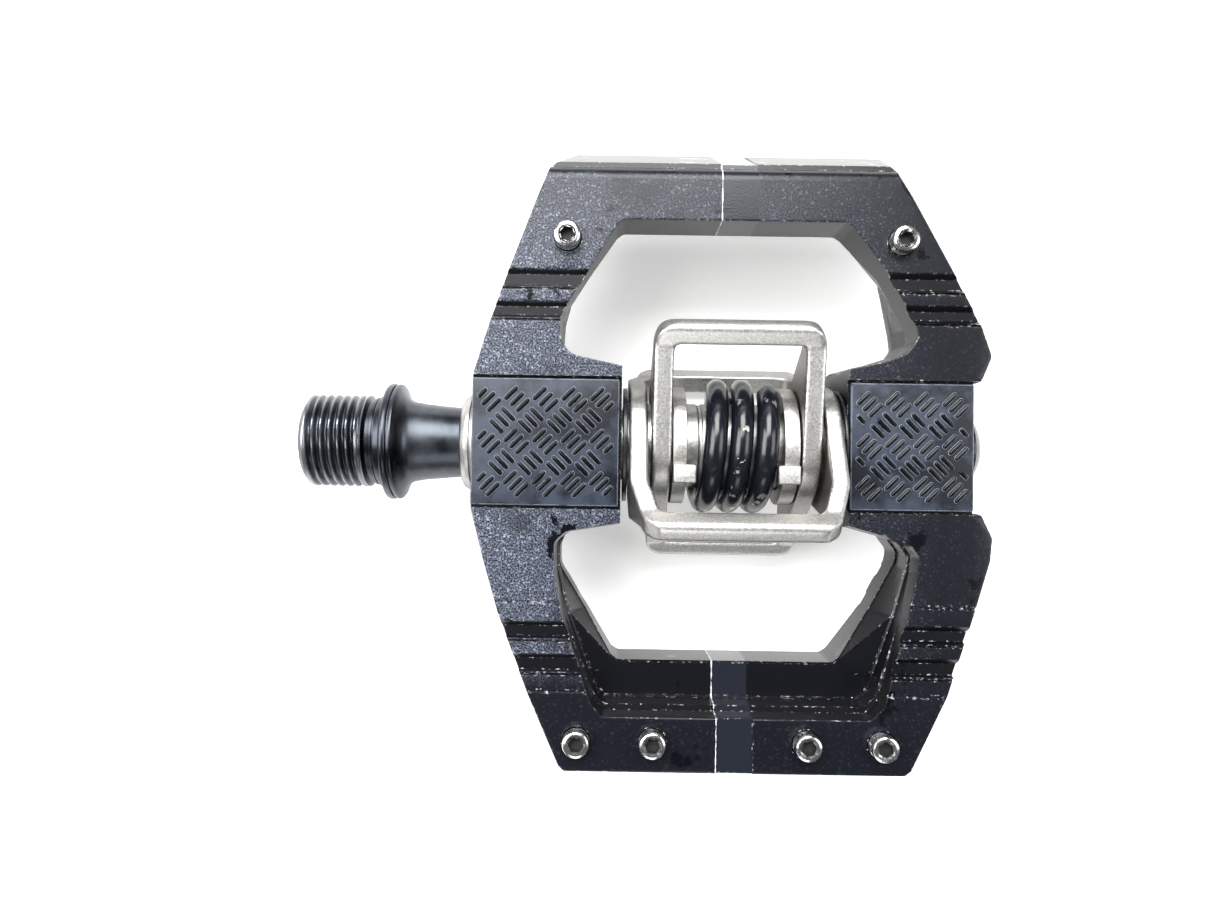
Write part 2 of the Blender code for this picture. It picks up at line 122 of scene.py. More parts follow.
def roundCorners(points, radii, steps=4, closed=True):
    # Replaces every corner with an arc of its radius, always with the same number of points.
    rounded = []
    count = len(points)
    for i, point in enumerate(points):
        here = Vector(point)
        if not closed and i in (0, count - 1):
            rounded.append(here)
            continue
        radius = radii[i] if isinstance(radii, (list, tuple)) else radii
        before, after = Vector(points[i - 1]) - here, Vector(points[(i + 1) % count]) - here
        bend = before.angle(after)
        reach = min(radius / max(math.tan(bend / 2), 0.01), before.length * 0.45, after.length * 0.45)
        start, end = here + before.normalized() * reach, here + after.normalized() * reach
        for step in range(steps + 1):
            share = step / steps
            rounded.append(start.lerp(here, share).lerp(here.lerp(end, share), share))
    return rounded


def grownCorners(points, distance):
    # Moves every side of a closed outline outwards by the distance.
    points = [Vector(point) for point in points]
    area = sum(a.x * b.y - b.x * a.y for a, b in zip(points, points[1:] + points[:1]))
    side = 1 if area > 0 else -1
    grown = []
    for i, point in enumerate(points):
        before = (point - points[i - 1]).normalized()
        after = (points[(i + 1) % len(points)] - point).normalized()
        first, second = Vector((before.y, -before.x)) * side, Vector((after.y, -after.x)) * side
        grown.append(point + (first + second) * distance / (1 + first.dot(second)))
    return grown


def loftRings(bm, rings, caps=True):
    loops = [[bm.verts.new(point) for point in ring] for ring in rings]
    for low, high in zip(loops, loops[1:]):
        for i in range(len(low)):
            j = (i + 1) % len(low)
            bm.faces.new((low[i], low[j], high[j], high[i]))
    if caps:
        bm.faces.new(loops[0][::-1])
        bm.faces.new(loops[-1])
    return loops


def lathe(name, profile, steps=96, closed=False):
    # Turns (x, radius) points about the spindle axis. Open profiles start and end on the axis.
    bm = bmesh.new()
    rings = []
    for x, r in profile:
        if r < 1e-6:
            rings.append([bm.verts.new((x, 0, 0))])
            continue
        angles = (2 * math.pi * s / steps for s in range(steps))
        rings.append([bm.verts.new((x, r * math.cos(angle), r * math.sin(angle))) for angle in angles])
    pairs = list(zip(rings, rings[1:]))
    if closed:
        pairs.append((rings[-1], rings[0]))
    for low, high in pairs:
        for s in range(steps):
            t = (s + 1) % steps
            if len(low) == 1:
                bm.faces.new((low[0], high[t], high[s]))
            elif len(high) == 1:
                bm.faces.new((low[s], low[t], high[0]))
            else:
                bm.faces.new((low[s], low[t], high[t], high[s]))
    return fromBmesh(name, bm)


def softProfile(points, radius, steps=3, closed=False):
    return [(p.x, p.y) for p in roundCorners(points, radius, steps, closed)]


def rodTool(name, axis, start, end, radius, segments, centre=(0, 0), turn=0.0):
    bm = bmesh.new()
    middle = (start + end) / 2
    if axis == "X":
        place = Matrix.Translation((middle, *centre)) @ Matrix.Rotation(math.pi / 2, 4, "Y")
    else:
        place = Matrix.Translation((*centre, middle))
    bmesh.ops.create_cone(bm, cap_ends=True, segments=segments, radius1=radius, radius2=radius,
                          depth=end - start, matrix=place @ Matrix.Rotation(turn, 4, "Z"))
    return fromBmesh(name, bm)


def hexRadius(acrossFlats):
    return acrossFlats / 2 / math.cos(math.pi / 6)


# Node helpers

def wire(tree, source, output, target, entry):
    tree.links.new(source.outputs[output], target.inputs[entry])


def plug(tree, value, target, entry):
    # A value is a number, a colour, a node (its first output) or a (node, output) pair.
    if isinstance(value, bpy.types.Node):
        wire(tree, value, 0, target, entry)
    elif isinstance(value, tuple) and isinstance(value[0], bpy.types.Node):
        wire(tree, value[0], value[1], target, entry)
    else:
        target.inputs[entry].default_value = (*value, 1) if isinstance(value, tuple) else value


def addNode(tree, kind, **settings):
    made = tree.nodes.new(kind)
    for key, value in settings.items():
        if hasattr(made, key):
            setattr(made, key, value)
        else:
            made.inputs[key.replace("_", " ")].default_value = value
    return made


def addMath(tree, operation, first=None, second=None, third=None, clamp=False):
    made = tree.nodes.new("ShaderNodeMath")
    made.operation = operation
    made.use_clamp = clamp
    for entry, value in enumerate((first, second, third)):
        if value is not None:
            plug(tree, value, made, entry)
    return made


def product(tree, first, *others):
    for other in others:
        first = addMath(tree, "MULTIPLY", first, other)
    return first


def addRamp(tree, source, output, low, high):
    made = tree.nodes.new("ShaderNodeMapRange")
    made.inputs["From Min"].default_value = low
    made.inputs["From Max"].default_value = high
    wire(tree, source, output, made, "Value")
    return made


def addColourMix(tree, factor, first, second):
    made = tree.nodes.new("ShaderNodeMix")
    made.data_type = "RGBA"
    plug(tree, factor, made, 0)
    plug(tree, first, made, 6)
    plug(tree, second, made, 7)
    return made


def newGroup(name, entries, exits):
    tree = bpy.data.node_groups.new(name, "ShaderNodeTree")
    for label, kind, value in entries:
        socket = tree.interface.new_socket(label, in_out="INPUT", socket_type=kind)
        if value is not None:
            socket.default_value = value
    for label, kind in exits:
        tree.interface.new_socket(label, in_out="OUTPUT", socket_type=kind)
    return tree, tree.nodes.new("NodeGroupInput"), tree.nodes.new("NodeGroupOutput")


def buildGrainGroup():
    # Fine blasted grain: a height, and a mask of the few facets that flash, for painted glints.
    tree, source, target = newGroup(
        "blastedGrain",
        [("Vector", "NodeSocketVector", None), ("Grain Size", "NodeSocketFloat", 6000.0),
         ("Flash Share", "NodeSocketFloat", 0.2)],
        [("Height", "NodeSocketFloat"), ("Flash", "NodeSocketFloat")])
    grain = addNode(tree, "ShaderNodeTexNoise", Detail=2.0, Roughness=0.6)
    wire(tree, source, "Vector", grain, "Vector")
    wire(tree, source, "Grain Size", grain, "Scale")
    wire(tree, grain, "Fac", target, "Height")
    facets = addNode(tree, "ShaderNodeTexVoronoi", Randomness=1.0)
    wire(tree, source, "Vector", facets, "Vector")
    wire(tree, source, "Grain Size", facets, "Scale")
    split = tree.nodes.new("ShaderNodeSeparateColor")
    wire(tree, facets, "Color", split, "Color")
    floor = addMath(tree, "SUBTRACT", 1.0, (source, "Flash Share"))
    above = addMath(tree, "SUBTRACT", (split, "Red"), floor)
    shown = addMath(tree, "DIVIDE", above, (source, "Flash Share"), clamp=True)
    wire(tree, shown, 0, target, "Flash")
    return tree


def buildPatchGroup():
    # Soft-edged patches, for grease, stains and worn paint.
    tree, source, target = newGroup(
        "patches",
        [("Vector", "NodeSocketVector", None), ("Size", "NodeSocketFloat", 80.0),
         ("Cover", "NodeSocketFloat", 0.5), ("Softness", "NodeSocketFloat", 0.06)],
        [("Mask", "NodeSocketFloat")])
    blotch = addNode(tree, "ShaderNodeTexNoise", Detail=5.0, Roughness=0.62)
    wire(tree, source, "Vector", blotch, "Vector")
    wire(tree, source, "Size", blotch, "Scale")
    edge = addMath(tree, "SUBTRACT", (blotch, "Fac"), addMath(tree, "SUBTRACT", 1.0, (source, "Cover")))
    soft = addMath(tree, "DIVIDE", edge, (source, "Softness"))
    shown = addMath(tree, "ADD", soft, 0.5, clamp=True)
    wire(tree, shown, 0, target, "Mask")
    return tree


def buildBandGroup():
    # The smooth strip across both end bars, and the chipped line along its crank side.
    left, right = axisX - 1.9 * mm, axisX + 3.5 * mm
    tree, source, target = newGroup(
        "endBarBand",
        [("Vector", "NodeSocketVector", None), ("Left", "NodeSocketFloat", left),
         ("Right", "NodeSocketFloat", right), ("Start", "NodeSocketFloat", 32.0 * mm),
         ("Line", "NodeSocketFloat", 0.10 * mm)],
        [("Band", "NodeSocketFloat"), ("Chipped Edge", "NodeSocketFloat")])
    split = tree.nodes.new("ShaderNodeSeparateXYZ")
    wire(tree, source, "Vector", split, 0)
    beyond = addMath(tree, "GREATER_THAN", addMath(tree, "ABSOLUTE", (split, 1)), (source, "Start"))
    after = addMath(tree, "GREATER_THAN", split, (source, "Left"))
    before = addMath(tree, "LESS_THAN", split, (source, "Right"))
    across = product(tree, after, before)
    wire(tree, product(tree, across, beyond), 0, target, "Band")
    offset = addMath(tree, "ABSOLUTE", addMath(tree, "SUBTRACT", split, (source, "Left")))
    ragged = addNode(tree, "ShaderNodeTexNoise", Scale=1300.0, Detail=3.0)
    wire(tree, source, "Vector", ragged, "Vector")
    reach = product(tree, addRamp(tree, ragged, "Fac", 0.30, 0.60), (source, "Line"))
    line = addMath(tree, "LESS_THAN", offset, reach)
    wire(tree, product(tree, line, beyond), 0, target, "Chipped Edge")
    return tree


def buildEdgeGroup():
    # Flecks along sharp edges, found where a rounded normal leaves the true one: bare metal on the frame, a
    # painted highlight on the pad ribs.
    tree, source, target = newGroup(
        "edgeWearAndHighlight",
        [("Vector", "NodeSocketVector", None), ("Reach", "NodeSocketFloat", 0.2 * mm),
         ("Cover", "NodeSocketFloat", 0.4), ("Fleck Size", "NodeSocketFloat", 1500.0)],
        [("Edge Flecks", "NodeSocketFloat")])
    rounded = tree.nodes.new("ShaderNodeBevel")
    rounded.samples = 4
    wire(tree, source, "Reach", rounded, "Radius")
    true = tree.nodes.new("ShaderNodeNewGeometry")
    agree = tree.nodes.new("ShaderNodeVectorMath")
    agree.operation = "DOT_PRODUCT"
    wire(tree, rounded, "Normal", agree, 0)
    wire(tree, true, "Normal", agree, 1)
    edge = addRamp(tree, agree, "Value", 0.985, 0.955)
    flecks = addNode(tree, "ShaderNodeTexNoise", Detail=3.0, Roughness=0.7)
    wire(tree, source, "Vector", flecks, "Vector")
    wire(tree, source, "Fleck Size", flecks, "Scale")
    over = addMath(tree, "SUBTRACT", (flecks, "Fac"), addMath(tree, "SUBTRACT", 1.0, (source, "Cover")))
    shown = addMath(tree, "MULTIPLY", over, 12.0, clamp=True)
    wire(tree, product(tree, edge, shown), 0, target, "Edge Flecks")
    return tree


grainGroup = buildGrainGroup()
edgeGroup = buildEdgeGroup()
patchGroup = buildPatchGroup()
bandGroup = buildBandGroup()


def startMaterial(name, colour, metallic, roughness):
    material = bpy.data.materials.new(name)
    material.use_nodes = True
    tree = material.node_tree
    shader = tree.nodes["Principled BSDF"]
    shader.inputs["Base Color"].default_value = (*colour, 1)
    shader.inputs["Metallic"].default_value = metallic
    shader.inputs["Roughness"].default_value = roughness
    place = tree.nodes.new("ShaderNodeTexCoord")
    return material, tree, shader, place


def placeGroup(tree, group, place, **values):
    made = tree.nodes.new("ShaderNodeGroup")
    made.node_tree = group
    wire(tree, place, "Object", made, "Vector")
    for key, value in values.items():
        made.inputs[key.replace("_", " ")].default_value = value
    return made


def addBump(tree, shader, height, strength, distance, under=None):
    bump = tree.nodes.new("ShaderNodeBump")
    bump.inputs["Strength"].default_value = strength
    bump.inputs["Distance"].default_value = distance
    plug(tree, height, bump, "Height")
    if under:
        wire(tree, under, "Normal", bump, "Normal")
    wire(tree, bump, "Normal", shader, "Normal")
    return bump


def addRoughness(tree, shader, mask, low, high):
    spread = tree.nodes.new("ShaderNodeMapRange")
    spread.inputs["To Min"].default_value = low
    spread.inputs["To Max"].default_value = high
    plug(tree, mask, spread, "Value")
    wire(tree, spread, "Result", shader, "Roughness")


# Materials

def anodisedMaterial():
    # Dull, speckled tops on the arms, with a painted sheen and painted glints on the left arm; grease patches
    # stay dark and slick, and everything sunk below the top faces gets the same dark colour as painted shade.
    look = {"deep": (0.0012, 0.0015, 0.0034), "grain": (0.0055, 0.0066, 0.0125), "dryAndSheen": (0.175, 0.200, 0.270),
            "flash": (0.42, 0.46, 0.54), "grease": (0.0010, 0.0012, 0.0028), "band": (0.011, 0.013, 0.020),
            "chip": (0.70, 0.70, 0.70), "dryAndSheenFront": (-36.0 * mm, -31.0 * mm),
            "dryAndSheenBack": (50.0 * mm, 26.0 * mm), "dryAndSheenAcross": (44.0 * mm, -22.0 * mm),
            "sunk": (7.5 * mm, 7.85 * mm)}
    material, tree, shader, place = startMaterial("anodisedAlloy", look["deep"], 0.0, 0.45)
    shader.inputs["Specular IOR Level"].default_value = 0.34
    grain = placeGroup(tree, grainGroup, place, Grain_Size=4000.0, Flash_Share=0.12)
    dryAndSheenPatch = placeGroup(tree, patchGroup, place, Size=70.0, Cover=0.60, Softness=0.16)
    grease = placeGroup(tree, patchGroup, place, Size=120.0, Cover=0.37, Softness=0.03)
    split = tree.nodes.new("ShaderNodeSeparateXYZ")
    wire(tree, place, "Object", split, 0)
    # The lighter speckled patch on the left arm is partly the dry blasted finish and partly a painted sheen.
    front = addRamp(tree, split, 1, *look["dryAndSheenFront"])
    back = addRamp(tree, split, 1, *look["dryAndSheenBack"])
    across = addRamp(tree, split, 0, *look["dryAndSheenAcross"])
    # Faces sunk below the top, in the grooves and along the window edges, get the dark grease colour as
    # painted shade.
    top = addRamp(tree, addMath(tree, "ABSOLUTE", (split, 2)), 0, *look["sunk"])
    where = product(tree, front, back, across)
    cleanAndUnshaded = product(tree, addMath(tree, "SUBTRACT", 1.0, (grease, "Mask")), top)
    dryAndSheen = product(tree, where, (dryAndSheenPatch, "Mask"), cleanAndUnshaded)
    coarse = addRamp(tree, grain, "Height", 0.44, 0.66)
    speckled = product(tree, dryAndSheen, coarse)
    base = addColourMix(tree, (grain, "Height"), look["deep"], look["grain"])
    dryAndSheenMixed = addColourMix(tree, speckled, (base, 2), look["dryAndSheen"])
    # Facets that flash get a painted glint, mostly in the dry, sheened patch and never on the sunk or greasy
    # faces.
    flashShare = product(tree, addMath(tree, "MULTIPLY_ADD", dryAndSheen, 0.6, 0.03), cleanAndUnshaded)
    flashed = addColourMix(tree, product(tree, (grain, "Flash"), flashShare), (dryAndSheenMixed, 2),
                           look["flash"])
    # The grease colour goes on the grease patches and, as painted shade, on the sunk faces.
    greaseAndShade = addMath(tree, "SUBTRACT", 1.0, cleanAndUnshaded)
    greasedAndShaded = addColourMix(tree, product(tree, greaseAndShade, 0.85), (flashed, 2), look["grease"])
    band = placeGroup(tree, bandGroup, place)
    banded = addColourMix(tree, (band, "Band"), (greasedAndShaded, 2), look["band"])
    chipped = addColourMix(tree, (band, "Chipped Edge"), (banded, 2), look["chip"])
    wear = placeGroup(tree, edgeGroup, place, Reach=0.30 * mm, Cover=0.44)
    worn = addColourMix(tree, (wear, "Edge Flecks"), (chipped, 2), look["chip"])
    wire(tree, worn, 2, shader, "Base Color")
    smooth = addMath(tree, "MAXIMUM", (grease, "Mask"), (band, "Band"))
    addRoughness(tree, shader, smooth, 0.31, 0.22)
    height = product(tree, (grain, "Height"), addMath(tree, "MULTIPLY_ADD", dryAndSheen, 0.7, 0.3))
    addBump(tree, shader, height, 0.45, 0.00009)
    return material


def padMaterial():
    # Ribs stay glossy black while the plate between them has dulled; pale flecks along the rib edges are a
    # painted highlight.
    material, tree, shader, place = startMaterial("padPlastic", (0.01, 0.011, 0.014), 0.0, 0.4)
    shader.inputs["Specular IOR Level"].default_value = 0.38
    scuff = placeGroup(tree, patchGroup, place, Size=120.0, Cover=0.52, Softness=0.14)
    grain = placeGroup(tree, grainGroup, place, Grain_Size=3800.0, Flash_Share=0.1)
    plate = addColourMix(tree, (scuff, "Mask"), (0.0035, 0.0055, 0.011), (0.034, 0.043, 0.064))
    split = tree.nodes.new("ShaderNodeSeparateXYZ")
    wire(tree, place, "Object", split, 0)
    raised = addRamp(tree, addMath(tree, "ABSOLUTE", (split, 2)), 0, 7.92 * mm, 8.0 * mm)
    base = addColourMix(tree, raised, (plate, 2), (0.0022, 0.0026, 0.0040))
    # Pale flecks on the rib edges: painted highlight.
    edge = placeGroup(tree, edgeGroup, place, Reach=0.14 * mm, Cover=0.66, Fleck_Size=420.0)
    paintedHighlight = addColourMix(tree, product(tree, (edge, "Edge Flecks"), 0.8), (base, 2), (0.40, 0.45, 0.52))
    wire(tree, paintedHighlight, 2, shader, "Base Color")
    addRoughness(tree, shader, raised, 0.36, 0.17)
    height = product(tree, (grain, "Height"), addMath(tree, "SUBTRACT", 1.0, raised))
    addBump(tree, shader, height, 0.30, 0.00006)
    return material


def darkSteelMaterial():
    material, tree, shader, place = startMaterial("spindleSteel", (0.10, 0.105, 0.115), 1.0, 0.32)
    smear = placeGroup(tree, patchGroup, place, Size=110.0, Cover=0.5, Softness=0.3)
    base = addColourMix(tree, (smear, "Mask"), (0.030, 0.034, 0.042), (0.090, 0.098, 0.112))
    split = tree.nodes.new("ShaderNodeSeparateXYZ")
    wire(tree, place, "Object", split, 0)
    # The thread crests on the threaded end get a paler colour as a painted highlight.
    squares = [addMath(tree, "POWER", (split, axis), 2.0) for axis in (1, 2)]
    radius = addMath(tree, "SQRT", addMath(tree, "ADD", *squares))
    crest = addRamp(tree, radius, 0, 6.85 * mm, 7.1 * mm)
    threaded = addMath(tree, "LESS_THAN", split, axisX - 53.6 * mm)
    paintedHighlight = addColourMix(tree, product(tree, crest, threaded), (base, 2), (0.25, 0.26, 0.28))
    wire(tree, paintedHighlight, 2, shader, "Base Color")
    addRoughness(tree, shader, (smear, "Mask"), 0.27, 0.42)
    turning = addNode(tree, "ShaderNodeTexNoise", Scale=1.0, Detail=2.0)
    stretch = tree.nodes.new("ShaderNodeMapping")
    stretch.inputs["Scale"].default_value = (5200.0, 60.0, 60.0)
    wire(tree, place, "Object", stretch, "Vector")
    wire(tree, stretch, "Vector", turning, "Vector")
    addBump(tree, shader, (turning, "Fac"), 0.12, 0.00003)
    return material


def stainlessMaterial(name="blastedStainless", stain=0.30, bright=(0.86, 0.85, 0.82),
                      dull=(0.58, 0.57, 0.545)):
    # Faces turned up or down stay bright; the sides get a darker colour as painted shade.
    material, tree, shader, place = startMaterial(name, bright, 1.0, 0.34)
    grain = placeGroup(tree, grainGroup, place, Grain_Size=3600.0, Flash_Share=0.3)
    rust = placeGroup(tree, patchGroup, place, Size=260.0, Cover=stain, Softness=0.10)
    split = tree.nodes.new("ShaderNodeSeparateXYZ")
    wire(tree, place, "Normal", split, 0)
    upright = addRamp(tree, addMath(tree, "ABSOLUTE", (split, 2)), 0, 0.15, 0.9)
    coarse = addRamp(tree, grain, "Height", 0.35, 0.65)
    base = addColourMix(tree, coarse, dull, bright)
    # Painted shade on the sideways faces.
    paintedSideShade = addColourMix(tree, upright, (0.17, 0.16, 0.145), (base, 2))
    stained = addColourMix(tree, product(tree, (rust, "Mask"), 0.55), (paintedSideShade, 2), (0.36, 0.22, 0.10))
    wire(tree, stained, 2, shader, "Base Color")
    addRoughness(tree, shader, (grain, "Height"), 0.30, 0.48)
    addBump(tree, shader, (grain, "Height"), 0.45, 0.00008)
    return material


def pinMaterial():
    material, tree, shader, place = startMaterial("pinSteel", (0.66, 0.66, 0.65), 1.0, 0.22)
    lock = placeGroup(tree, patchGroup, place, Size=700.0, Cover=0.40, Softness=0.04)
    tint = product(tree, (lock, "Mask"), 0.6)
    base = addColourMix(tree, tint, (0.70, 0.69, 0.67), (0.05, 0.16, 0.34))
    wire(tree, base, 2, shader, "Base Color")
    addRoughness(tree, shader, (lock, "Mask"), 0.18, 0.45)
    return material


def springMaterial():
    # Gloss black coat, chipped to bare steel where the coils stand highest.
    material, tree, shader, place = startMaterial("springCoat", (0.003, 0.0045, 0.008), 0.0, 0.14)
    chips = placeGroup(tree, patchGroup, place, Size=420.0, Cover=0.385, Softness=0.015)
    split = tree.nodes.new("ShaderNodeSeparateXYZ")
    wire(tree, place, "Object", split, "Vector")
    radius = addMath(tree, "SQRT", addMath(tree, "ADD", addMath(tree, "POWER", (split, "Y"), 2.0),
                                            addMath(tree, "POWER", (split, "Z"), 2.0)))
    crest = addRamp(tree, radius, 0, 0.01004, 0.01028)
    bare = product(tree, (chips, "Mask"), (crest, "Result"))
    base = addColourMix(tree, bare, (0.003, 0.0045, 0.008), (0.62, 0.60, 0.58))
    wire(tree, base, 2, shader, "Base Color")
    wire(tree, bare, 0, shader, "Metallic")
    addRoughness(tree, shader, bare, 0.24, 0.34)
    drips = addNode(tree, "ShaderNodeTexNoise", Scale=420.0, Detail=1.0)
    wire(tree, place, "Object", drips, "Vector")
    low = addBump(tree, shader, (drips, "Fac"), 0.25, 0.0004)
    addBump(tree, shader, addMath(tree, "SUBTRACT", 1.0, bare), 0.6, 0.00008, low)
    shader.inputs["Coat Weight"].default_value = 0.2
    shader.inputs["Coat Roughness"].default_value = 0.12
    return material


def plainMaterial(name, colour, metallic, roughness, size=900.0):
    # Moulded or ground finish with a slight mottle.
    material, tree, shader, place = startMaterial(name, colour, metallic, roughness)
    mottle = placeGroup(tree, patchGroup, place, Size=size, Cover=0.5, Softness=0.4)
    lighter = tuple(min(1.0, channel * 1.35 + 0.004) for channel in colour)
    base = addColourMix(tree, (mottle, "Mask"), colour, lighter)
    wire(tree, base, 2, shader, "Base Color")
    addRoughness(tree, shader, (mottle, "Mask"), roughness * 0.85, roughness * 1.15)
    addBump(tree, shader, (mottle, "Mask"), 0.08, 0.00004)
    return material


finishes = {
    "alloy": anodisedMaterial(),
    "pad": padMaterial(),
    "spindle": darkSteelMaterial(),
    "stainless": stainlessMaterial(),
    "sleeve": stainlessMaterial("turnedSleeve", 0.22, (0.62, 0.615, 0.60), (0.50, 0.495, 0.48)),
    "pin": pinMaterial(),
    "spring": springMaterial(),
    "plastic": plainMaterial("capPlastic", (0.010, 0.011, 0.013), 0.0, 0.28),
    "rubber": plainMaterial("sealRubber", (0.018, 0.018, 0.018), 0.0, 0.7),
    "ground": plainMaterial("bearingSteel", (0.50, 0.51, 0.53), 1.0, 0.2),
    # Near-black finish for inside the pin sockets, a painted shade.
    "socketShade": plainMaterial("paintedSocketShade", (0.012, 0.012, 0.013), 0.0, 0.6),
    "bronze": plainMaterial("cageBronze", (0.50, 0.33, 0.16), 1.0, 0.33),
}
print("materials ready:", len(finishes))


# Platform frame

platform = {
    "halfThick": 8.0, "bossIn": -16.4, "bossOut": 17.2, "left": -38.65,
    "ledgeBar": -1.0, "ledgeArm": -3.5, "wallArm": 2.0, "padFloor": 6.7, "padHalfY": 9.85,
    "boreRadius": 5.6, "sealBoreRadius": 7.45, "sealBoreEnd": -38.2,
    "bandLeft": -1.9, "bandRight": 3.5, "bandDepth": 0.16,
    "edge": 0.5,
    "grooves": ((17.9, 3.15, 0.60, 0.95), (22.55, 3.3, 0.45, 0.95),
                (-29.45, 3.2, 0.45, 0.9), (-34.3, 3.3, 0.35, 0.9)),
    "lines": ((-23.7, 0.5, 0.22), (-36.8, 0.5, 0.15)),
    "pinHole": 2.14,
    "pinSpots": ((-22.4, -43.8), (-11.3, -43.8), (11.3, -43.8), (22.4, -43.8), (-24.8, 30.4), (24.8, 30.4)),
}
rimBack = [(-38.65, 9.75), (-36.2, 17.9), (-33.7, 25.1), (-29.2, 37.2), (-27.7, 40.9), (-26.9, 41.5),
           (23.2, 41.5), (24.1, 40.8), (26.4, 37.2), (32.7, 25.9), (36.9, 17.9), (38.4, 13.6),
           (36.8, 9.75), (35.9, 9.7)]
rimFront = [(-38.65, -9.75), (-36.6, -17.6), (-34.4, -25.1), (-29.7, -37.2), (-25.0, -47.7),
            (-24.2, -48.4), (25.9, -48.4), (26.9, -47.6), (32.1, -36.7), (35.9, -24.8), (38.3, -16.6),
            (38.6, -13.3), (36.9, -9.75), (35.9, -9.7)]
rimRadii = [0.3, 4, 4, 6, 0.8, 0.8, 0.8, 0.8, 4, 5, 4, 1.6, 0.5, 0.2]
narrow = [(-16.4, 11.5), (-24.4, 13.2), (-25.7, 15.9), (-25.7, 18.9), (-21.6, 25.6), (-17.4, 32.5),
          (-16.4, 33.2), (16.6, 33.2), (17.7, 32.5), (22.9, 25.6), (27.1, 17.9), (27.3, 16.2),
          (25.6, 13.9), (22.2, 12.6), (17.2, 11.5)]
ledge = [(-16.4, 11.7), (-24.4, 13.2), (-25.9, 14.9), (-25.7, 18.9), (-24.0, 25.6), (-19.7, 37.4),
         (-18.3, 38.8), (20.5, 38.8), (22.0, 37.4), (25.3, 25.6), (27.2, 18.6), (27.5, 16.2),
         (26.2, 14.3), (22.2, 13.0), (17.2, 11.7)]
wide = [(-16.4, 11.8), (-24.4, 13.2), (-26.1, 14.8), (-26.0, 18.9), (-24.8, 25.6), (-20.4, 38.3),
        (-18.6, 40.2), (20.8, 40.2), (22.7, 38.3), (26.0, 25.6), (27.4, 18.6), (27.7, 16.2),
        (26.4, 14.4), (22.2, 13.1), (17.2, 11.8)]
windowRadii = [0.2, 2.5, 1.5, 3, 8, 1.2, 1.2, 1.2, 1.2, 8, 3, 1.2, 1.5, 3, 0.2]


def windowTool():
    steps, half = 3, platform["halfThick"]
    outlines = {"narrow": narrow, "ledge": ledge, "wide": wide}
    bar = range(5 * (steps + 1), 9 * (steps + 1))
    barShelf, armShelf, armTop = platform["ledgeBar"], platform["ledgeArm"], platform["wallArm"]

    def ring(name, grow, barHeight, armHeight):
        points = roundCorners(grownCorners(outlines[name], grow), windowRadii, steps)
        return [(p.x, p.y, barHeight if i in bar else armHeight) for i, p in enumerate(points)]

    bm = bmesh.new()
    loftRings(bm, [
        ring("wide", 1.3, -half - 1, -half - 1),
        ring("wide", 0.3, -half, -half),
        ring("wide", 0.08, -half + 0.08, -half + 0.08),
        ring("wide", 0.0, -half + 0.3, -half + 0.3),
        ring("wide", -0.25, -half + 3.2, -half + 3.0),
        ring("ledge", 0.25, -half + 3.3, armShelf - 0.5),
        ring("ledge", 0.0, barShelf - 0.3, armShelf),
        ring("ledge", -0.3, barShelf, armShelf + 0.15),
        ring("narrow", 0.25, barShelf + 0.02, armTop - 0.15),
        ring("narrow", 0.0, barShelf + 0.3, armTop + 0.15),
        ring("narrow", 0.0, half - 0.3, half - 0.3),
        ring("narrow", 0.08, half - 0.08, half - 0.08),
        ring("narrow", 0.3, half, half),
        ring("narrow", 1.3, half + 1, half + 1)])
    return fromBmesh("windowTool", bm, True)


def stepTool():
    # Squares off the corner ends of the two sloped side panels, down to the shelf.
    outline = [(-20.5, 34.9), (-19.7, 37.0), (-18.2, 38.5), (20.4, 38.5), (22.0, 37.0), (22.9, 34.9)]
    bm = bmesh.new()
    loftRings(bm, [[(x, y, z) for x, y in outline] for z in (-6.0, platform["ledgeBar"])])
    return fromBmesh("stepTool", bm, True)


def barTool(name, section, left, right):
    # Draws a (y, z) section out along X.
    bm = bmesh.new()
    loftRings(bm, [[(x, y, z) for y, z in section] for x in (left, right)])
    return fromBmesh(name, bm, True)


def grooveTool(start, width, wall, depth):
    # From the near side: a notch, a lip, a steep wall, a flat floor and a slope back up.
    top = platform["halfThick"]
    lip, end = start + 0.4, start + width
    section = [(start, top + 1), (start, top), (start + 0.14, top - 0.42), (start + 0.26, top - 0.42),
               (lip, top - 0.05), (lip + wall, top - depth), (end - 0.85, top - depth),
               (end - 0.1, top - 0.06), (end + 0.1, top + 0.02), (end + 0.1, top + 1)]
    return barTool("grooveTool", section, -45, 45)


def lineTool(start, width, depth):
    top = platform["halfThick"]
    section = [(start - 0.1, top + 1), (start - 0.1, top + 0.02), (start + 0.1, top - depth),
               (start + width - 0.1, top - depth), (start + width, top + 1)]
    return barTool("lineTool", section, -45, 45)


def bandTool():
    # The shallow smooth band over an end bar: its top, its outer wall and its inner wall.
    depth, half = platform["bandDepth"], platform["halfThick"]
    over = [(-33.0, half + 1), (-33.0, half - depth), (-49.5, half - depth), (-49.5, half + 1)]
    outside = [(-48.4 + depth, half), (-41.5 + depth, -half), (-42.5, -half - 1), (-50.5, half + 1)]
    return [barTool("bandTool", section, platform["bandLeft"], platform["bandRight"])
            for section in (over, outside)]


